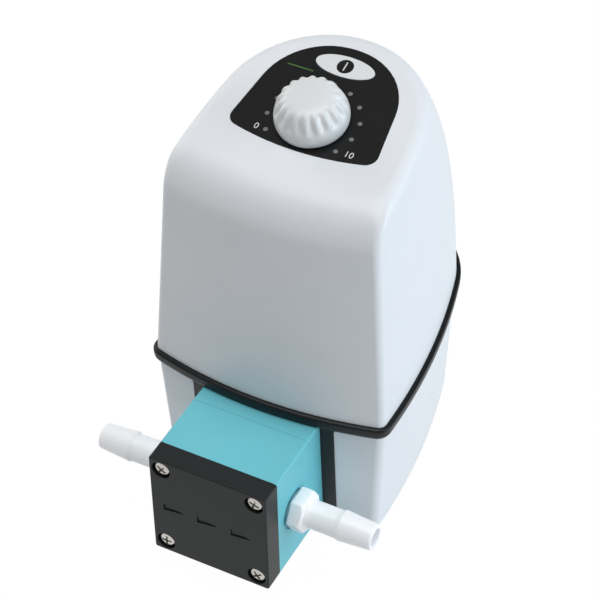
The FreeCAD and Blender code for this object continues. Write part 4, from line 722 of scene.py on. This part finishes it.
cover_screw = pan_screw(radius=2.0, length=63.6, head_radius=4.0, head_height=3.2)
cover_screw_places = []
for index, (x, z) in enumerate(screw_axes):
    as_driven = Matrix.Rotation(math.radians(35 * index), 4, "Z")
    place = Matrix.Translation((x, cover_seat, head_z + z)) @ to_rear
    cover_screw_places.append(place @ as_driven)
cover_screws = merged(copied(cover_screw, cover_screw_places))
bright_steel = surface("bright_screw_steel", display(196, 193, 188), mottle=0.10, grain=0.35,
                       bump=0.20, rough=(0.18, 0.34), Metallic=1.0)
piece(cover_screws, "cover_screw_set", bright_steel, ["cover_screws"], crease=35)

# Hose fittings: the inlet on the left and the outlet on the right, moulded in natural, slightly
# translucent polymer. A hexagon tightens each on its flat seal, and one ridge holds the hose.
# Their material also has a faint painted glow that brightens them.


def port_place(side):
    """The place over the port in the head's left (-1) or right (1) face."""
    turn = Matrix.Rotation(math.radians(90 * side), 4, "Y")
    return Matrix.Translation((head_width / 2 * side, port_y, head_z)) @ turn


nipple = [(4.5, -11), (6.1, -11), (6.5, -10.6), (6.5, 1.0), (6.85, 1.1), (6.85, 22.0),
          (6.9, 23.4), (7.35, 24.6), (7.5, 25.0), (7.5, 25.5), (7.35, 26.2), (6.38, 40.2),
          (6.2, 41.0), (5.7, 41.5), (5.2, 41.6), (4.8, 41.5), (4.5, 41.1)]
# The faint bluish emission in this material is painted light: a glow that brightens the fittings.
natural = surface("natural_polymer", display(251, 252, 255), mottle=0.006, grain=0.8, bump=0.04,
                  rough=(0.30, 0.40), Subsurface_Weight=0.3,
                  Subsurface_Radius=(0.003, 0.003, 0.003), Subsurface_Scale=1.0,
                  Emission_Color=(0.9, 0.95, 1.0, 1.0), Emission_Strength=0.09)
fitting = spun(nipple, 64)
nut_low, nut_high, nut_corner = 1.0, 7.8, 11.1
nut = eased(drum(nut_corner, nut_low, nut_high, corners=6), width=0.7, segments=4, angle=30)
nut_rounding = [(0, nut_low), (10.6, nut_low), (11.1, 1.6), (11.15, 3.0), (11.1, 4.6),
                (10.9, 5.6), (10.5, 6.6), (9.9, 7.4), (9.3, nut_high), (0, nut_high)]
combined(nut, "INTERSECT", spun(nut_rounding, 64))
inside_stem = 6.0
combined(nut, "DIFFERENCE", drum(inside_stem, 0, 10))
shaped(combined(fitting, "UNION", nut), "FACE", everything, face_out)
inlet_nipple, outlet_nipple = copied(fitting, [port_place(-1), port_place(1)])
piece(inlet_nipple, "inlet_fitting_nipple", natural, ["inlet_fitting"],
      crease=35)
piece(outlet_nipple, "outlet_fitting_nipple", natural, ["outlet_fitting"],
      crease=35)

# Fitting seals: two flat elastomer rings, punched from sheet. Each lies between a fitting's
# hexagon and the spot face of its port.

seal_ring = [(6.56, -0.5), (8.7, -0.5), (8.9, -0.3), (8.9, 0.8), (8.7, 1.0), (6.56, 1.0)]
seal_pair = merged(copied(spun(seal_ring, 64), [port_place(-1), port_place(1)]))
seal_grey = surface("fitting_seal_rubber", display(150, 190, 200), mottle=0.05, grain=0.4,
                    bump=0.10, rough=(0.5, 0.6))
piece(seal_pair, "fitting_seal_pair", seal_grey, ["fitting_seals"])

# Mains inlet: the appliance inlet in the rear wall, black moulded plastic with a chamfered
# mouth and three flat contact pins.

flange_thick = 2
inlet_front = inlet_face + flange_thick
inlet = block((31, flange_thick, 24), (0, inlet_face + flange_thick / 2, inlet_z), 0.6)
socket_depth = 19
combined(inlet, "UNION", block((socket_width, socket_depth, socket_height),
                               (0, inlet_front - socket_depth / 2, inlet_z)))
mouth = block((24.2, 16.5, 16.6), (0, inlet_front - 7.25, inlet_z))
shaped(mouth, "EDGE", lambda middle, direction: abs(direction.y) > 0.9 and middle.z > inlet_z,
       lambda: bpy.ops.mesh.bevel(offset=3.5, segments=1))
combined(inlet, "DIFFERENCE", mouth)
eased(inlet, width=0.25, segments=2, angle=50)
inlet_black = surface("inlet_black", display(38, 38, 40), mottle=0.06, grain=0.5, bump=0.12,
                      rough=(0.38, 0.5))
piece(inlet, "mains_inlet_socket", inlet_black, ["mains_inlet"])
pin_length = 20
pin = block((2, pin_length, 4), (0, inlet_face - pin_length / 2, inlet_z), 0.35, 2)
pin_places = [Matrix.Translation((x, 0, up)) for x, up in ((-7, -2), (7, -2), (0, 2))]
pin_brass = surface("contact_brass", display(205, 190, 150), mottle=0.06, grain=0.3, bump=0.1,
                    rough=(0.2, 0.35), Metallic=1.0)
piece(merged(copied(pin, pin_places)), "inlet_pin_set", pin_brass, ["inlet_pins"])

# Rubber feet: four round feet of soft black rubber, pressed into recesses in the floor of the
# lower housing.

foot = spun([(0, 0), (5.2, 0), (5.9, 0.3), (6.2, 0.9), (6.3, 1.6), (6.3, foot_height),
             (0, foot_height)])
feet = merged(copied(foot, [Matrix.Translation((x, y, 0)) for x, y in foot_places]))
foot_rubber = surface("foot_rubber", display(46, 46, 47), mottle=0.08, grain=0.4, bump=0.2,
                      rough=(0.6, 0.75))
piece(feet, "rubber_foot_set", foot_rubber, ["rubber_feet"])

# Housing screws: four long steel screws with pan heads, sunk deep in the posts of the lower
# housing. They pull the hood down on the band.

closing_screw = pan_screw(radius=1.75, length=24, head_radius=3.3, head_height=2.45)
closing_screw_places = [Matrix.Translation((x, y, screw_seat)) for x, y in screw_posts]
closing_screws = merged(copied(closing_screw, closing_screw_places))
piece(closing_screws, "housing_screw_set", bright_steel, ["housing_screws"])

# The pieces inside keep the shapes of the frame. Each gets the finish of what it is made of:
# turned and plated steel, cast alloy, rubber, moulded plastic, ferrite and varnished board.

inner_finishes = {
    "black_rubber": foot_rubber,
    "black_moulding": inlet_black,
    "contact_metal": pin_brass,
    "screw_steel": bright_steel,
    "valve_plate_plastic": surface("valve_plate_plastic", display(222, 224, 226), mottle=0.02,
                                   grain=0.5, bump=0.1, rough=(0.4, 0.5)),
    "dark_steel": surface("blackened_steel", display(96, 96, 99), mottle=0.08, grain=0.3, bump=0.2,
                          rough=(0.3, 0.45), Metallic=1.0),
    "bearing_steel": surface("ground_steel", display(205, 206, 208), mottle=0.04, grain=0.2,
                             bump=0.1, rough=(0.12, 0.25), stretch=(1, 1, 12), Metallic=1.0),
    "plated_steel": surface("plated_steel", display(190, 192, 190), mottle=0.10, grain=1.5,
                            bump=0.1, rough=(0.3, 0.45), Metallic=1.0),
    "cast_alloy": surface("cast_alloy", display(196, 197, 199), mottle=0.06, grain=0.8, bump=0.5,
                          rough=(0.4, 0.55), Metallic=1.0),
    "machined_steel": surface("turned_steel", display(180, 181, 184), mottle=0.05, grain=0.3,
                              bump=0.2, rough=(0.22, 0.35), stretch=(1, 1, 10), Metallic=1.0),
    "ferrite": surface("sintered_ferrite", display(70, 70, 72), mottle=0.12, grain=0.6, bump=0.4,
                       rough=(0.6, 0.75)),
    "core_steel": surface("stacked_core_steel", display(120, 118, 116), mottle=0.10, grain=0.5,
                          bump=0.5, rough=(0.4, 0.5), stretch=(1, 1, 20), Metallic=1.0),
    "carbon": surface("brush_carbon", display(52, 52, 54), mottle=0.12, grain=0.4, bump=0.4,
                      rough=(0.6, 0.7)),
    "board_green": surface("varnished_board", display(40, 110, 72), mottle=0.08, grain=0.6,
                           bump=0.1, rough=(0.2, 0.3)),
    "part_plastic": surface("component_plastic", display(70, 72, 76), mottle=0.10, grain=0.5,
                            bump=0.2, rough=(0.4, 0.5)),
    "pot_shaft": surface("shaft_plastic", display(88, 88, 90), mottle=0.05, grain=0.4, bump=0.1,
                         rough=(0.35, 0.45)),
}
slots = {entry["node"]: entry["material_slot"] for entry in frame["record"]["subparts"]}
for name, obj in frame["nodes"].items():
    if slots[name] in inner_finishes:
        obj.data.materials.clear()
        obj.data.materials.append(inner_finishes[slots[name]])

# Floor, light and camera: a pale floor that stays white to the camera and keeps a soft shadow,
# the main soft light low on the right, one from above and a weaker one from the left.

bpy.ops.object.select_all(action="DESELECT")
bpy.ops.mesh.primitive_plane_add(size=12, location=(0, 0, 0))
ground = bpy.context.object
ground.name = "floor"
floor_paint = bpy.data.materials.new("pale_floor")
floor_paint.use_nodes = True
tree = floor_paint.node_tree
matt = tree.nodes["Principled BSDF"]
matt.inputs["Base Color"].default_value = (0.72, 0.72, 0.72, 1)
matt.inputs["Roughness"].default_value = 0.9
floor_glow, glow_share = 1.03, 0.95
white = tree.nodes.new("ShaderNodeEmission")
white.inputs["Strength"].default_value = floor_glow
path = tree.nodes.new("ShaderNodeLightPath")
seen = tree.nodes.new("ShaderNodeMath")
seen.operation = "MAXIMUM"
tree.links.new(path.outputs["Is Camera Ray"], seen.inputs[0])
tree.links.new(path.outputs["Is Glossy Ray"], seen.inputs[1])
share = tree.nodes.new("ShaderNodeMath")
share.operation = "MULTIPLY"
share.inputs[1].default_value = glow_share
tree.links.new(seen.outputs[0], share.inputs[0])
blend = tree.nodes.new("ShaderNodeMixShader")
tree.links.new(share.outputs[0], blend.inputs["Fac"])
tree.links.new(matt.outputs[0], blend.inputs[1])
tree.links.new(white.outputs[0], blend.inputs[2])
tree.links.new(blend.outputs[0], tree.nodes["Material Output"].inputs["Surface"])
ground.data.materials.append(floor_paint)

world = bpy.data.worlds.new("studio")
bpy.context.scene.world = world
world.use_nodes = True
tree = world.node_tree
sky = tree.nodes["Background"]
path = tree.nodes.new("ShaderNodeLightPath")
sky_light, sky_seen = 0.21, 1.0
level = tree.nodes.new("ShaderNodeMapRange")
level.inputs["To Min"].default_value = sky_light
level.inputs["To Max"].default_value = sky_seen
tree.links.new(path.outputs["Is Camera Ray"], level.inputs["Value"])
sky.inputs["Color"].default_value = (1.0, 1.0, 1.0, 1.0)
tree.links.new(level.outputs["Result"], sky.inputs["Strength"])


def softbox(name, at, size, power, colour):
    """A square area lamp that looks at the middle of the pump."""
    lamp = bpy.data.lights.new(name, "AREA")
    lamp.size = size
    lamp.energy = power
    lamp.color = colour
    obj = bpy.data.objects.new(name, lamp)
    bpy.context.scene.collection.objects.link(obj)
    obj.location = at
    obj.rotation_euler = (Vector(at) - Vector((0, 0, 0.1))).to_track_quat("Z", "Y").to_euler()


softbox("right_softbox", (1.5, 0.25, 0.45), size=1.1, power=16.4, colour=(0.81, 0.92, 1.0))
softbox("left_softbox", (-1.4, 0.4, 0.9), size=1.0, power=7.0, colour=(1.0, 1.0, 1.0))
softbox("top_softbox", (-0.05, -0.2, 1.7), size=1.0, power=13.6, colour=(1.0, 1.0, 1.0))

camera = bpy.data.objects.new("photo_camera", bpy.data.cameras.new("photo_camera"))
bpy.context.scene.collection.objects.link(camera)
camera.data.lens = 150
camera.data.sensor_width = 36

# The camera's place and turn were solved from the corners of the square head cover.
lift, roll, heading = 47.11195, 0.99654, 27.79449
camera_turn = Euler([math.radians(angle) for angle in (lift, roll, heading)])
camera_at = Vector((0.408507, -0.753985, 0.894111))
camera.matrix_world = Matrix.LocRotScale(camera_at, camera_turn, None)
bpy.context.scene.camera = camera
bpy.context.scene.view_settings.view_transform = "Standard"
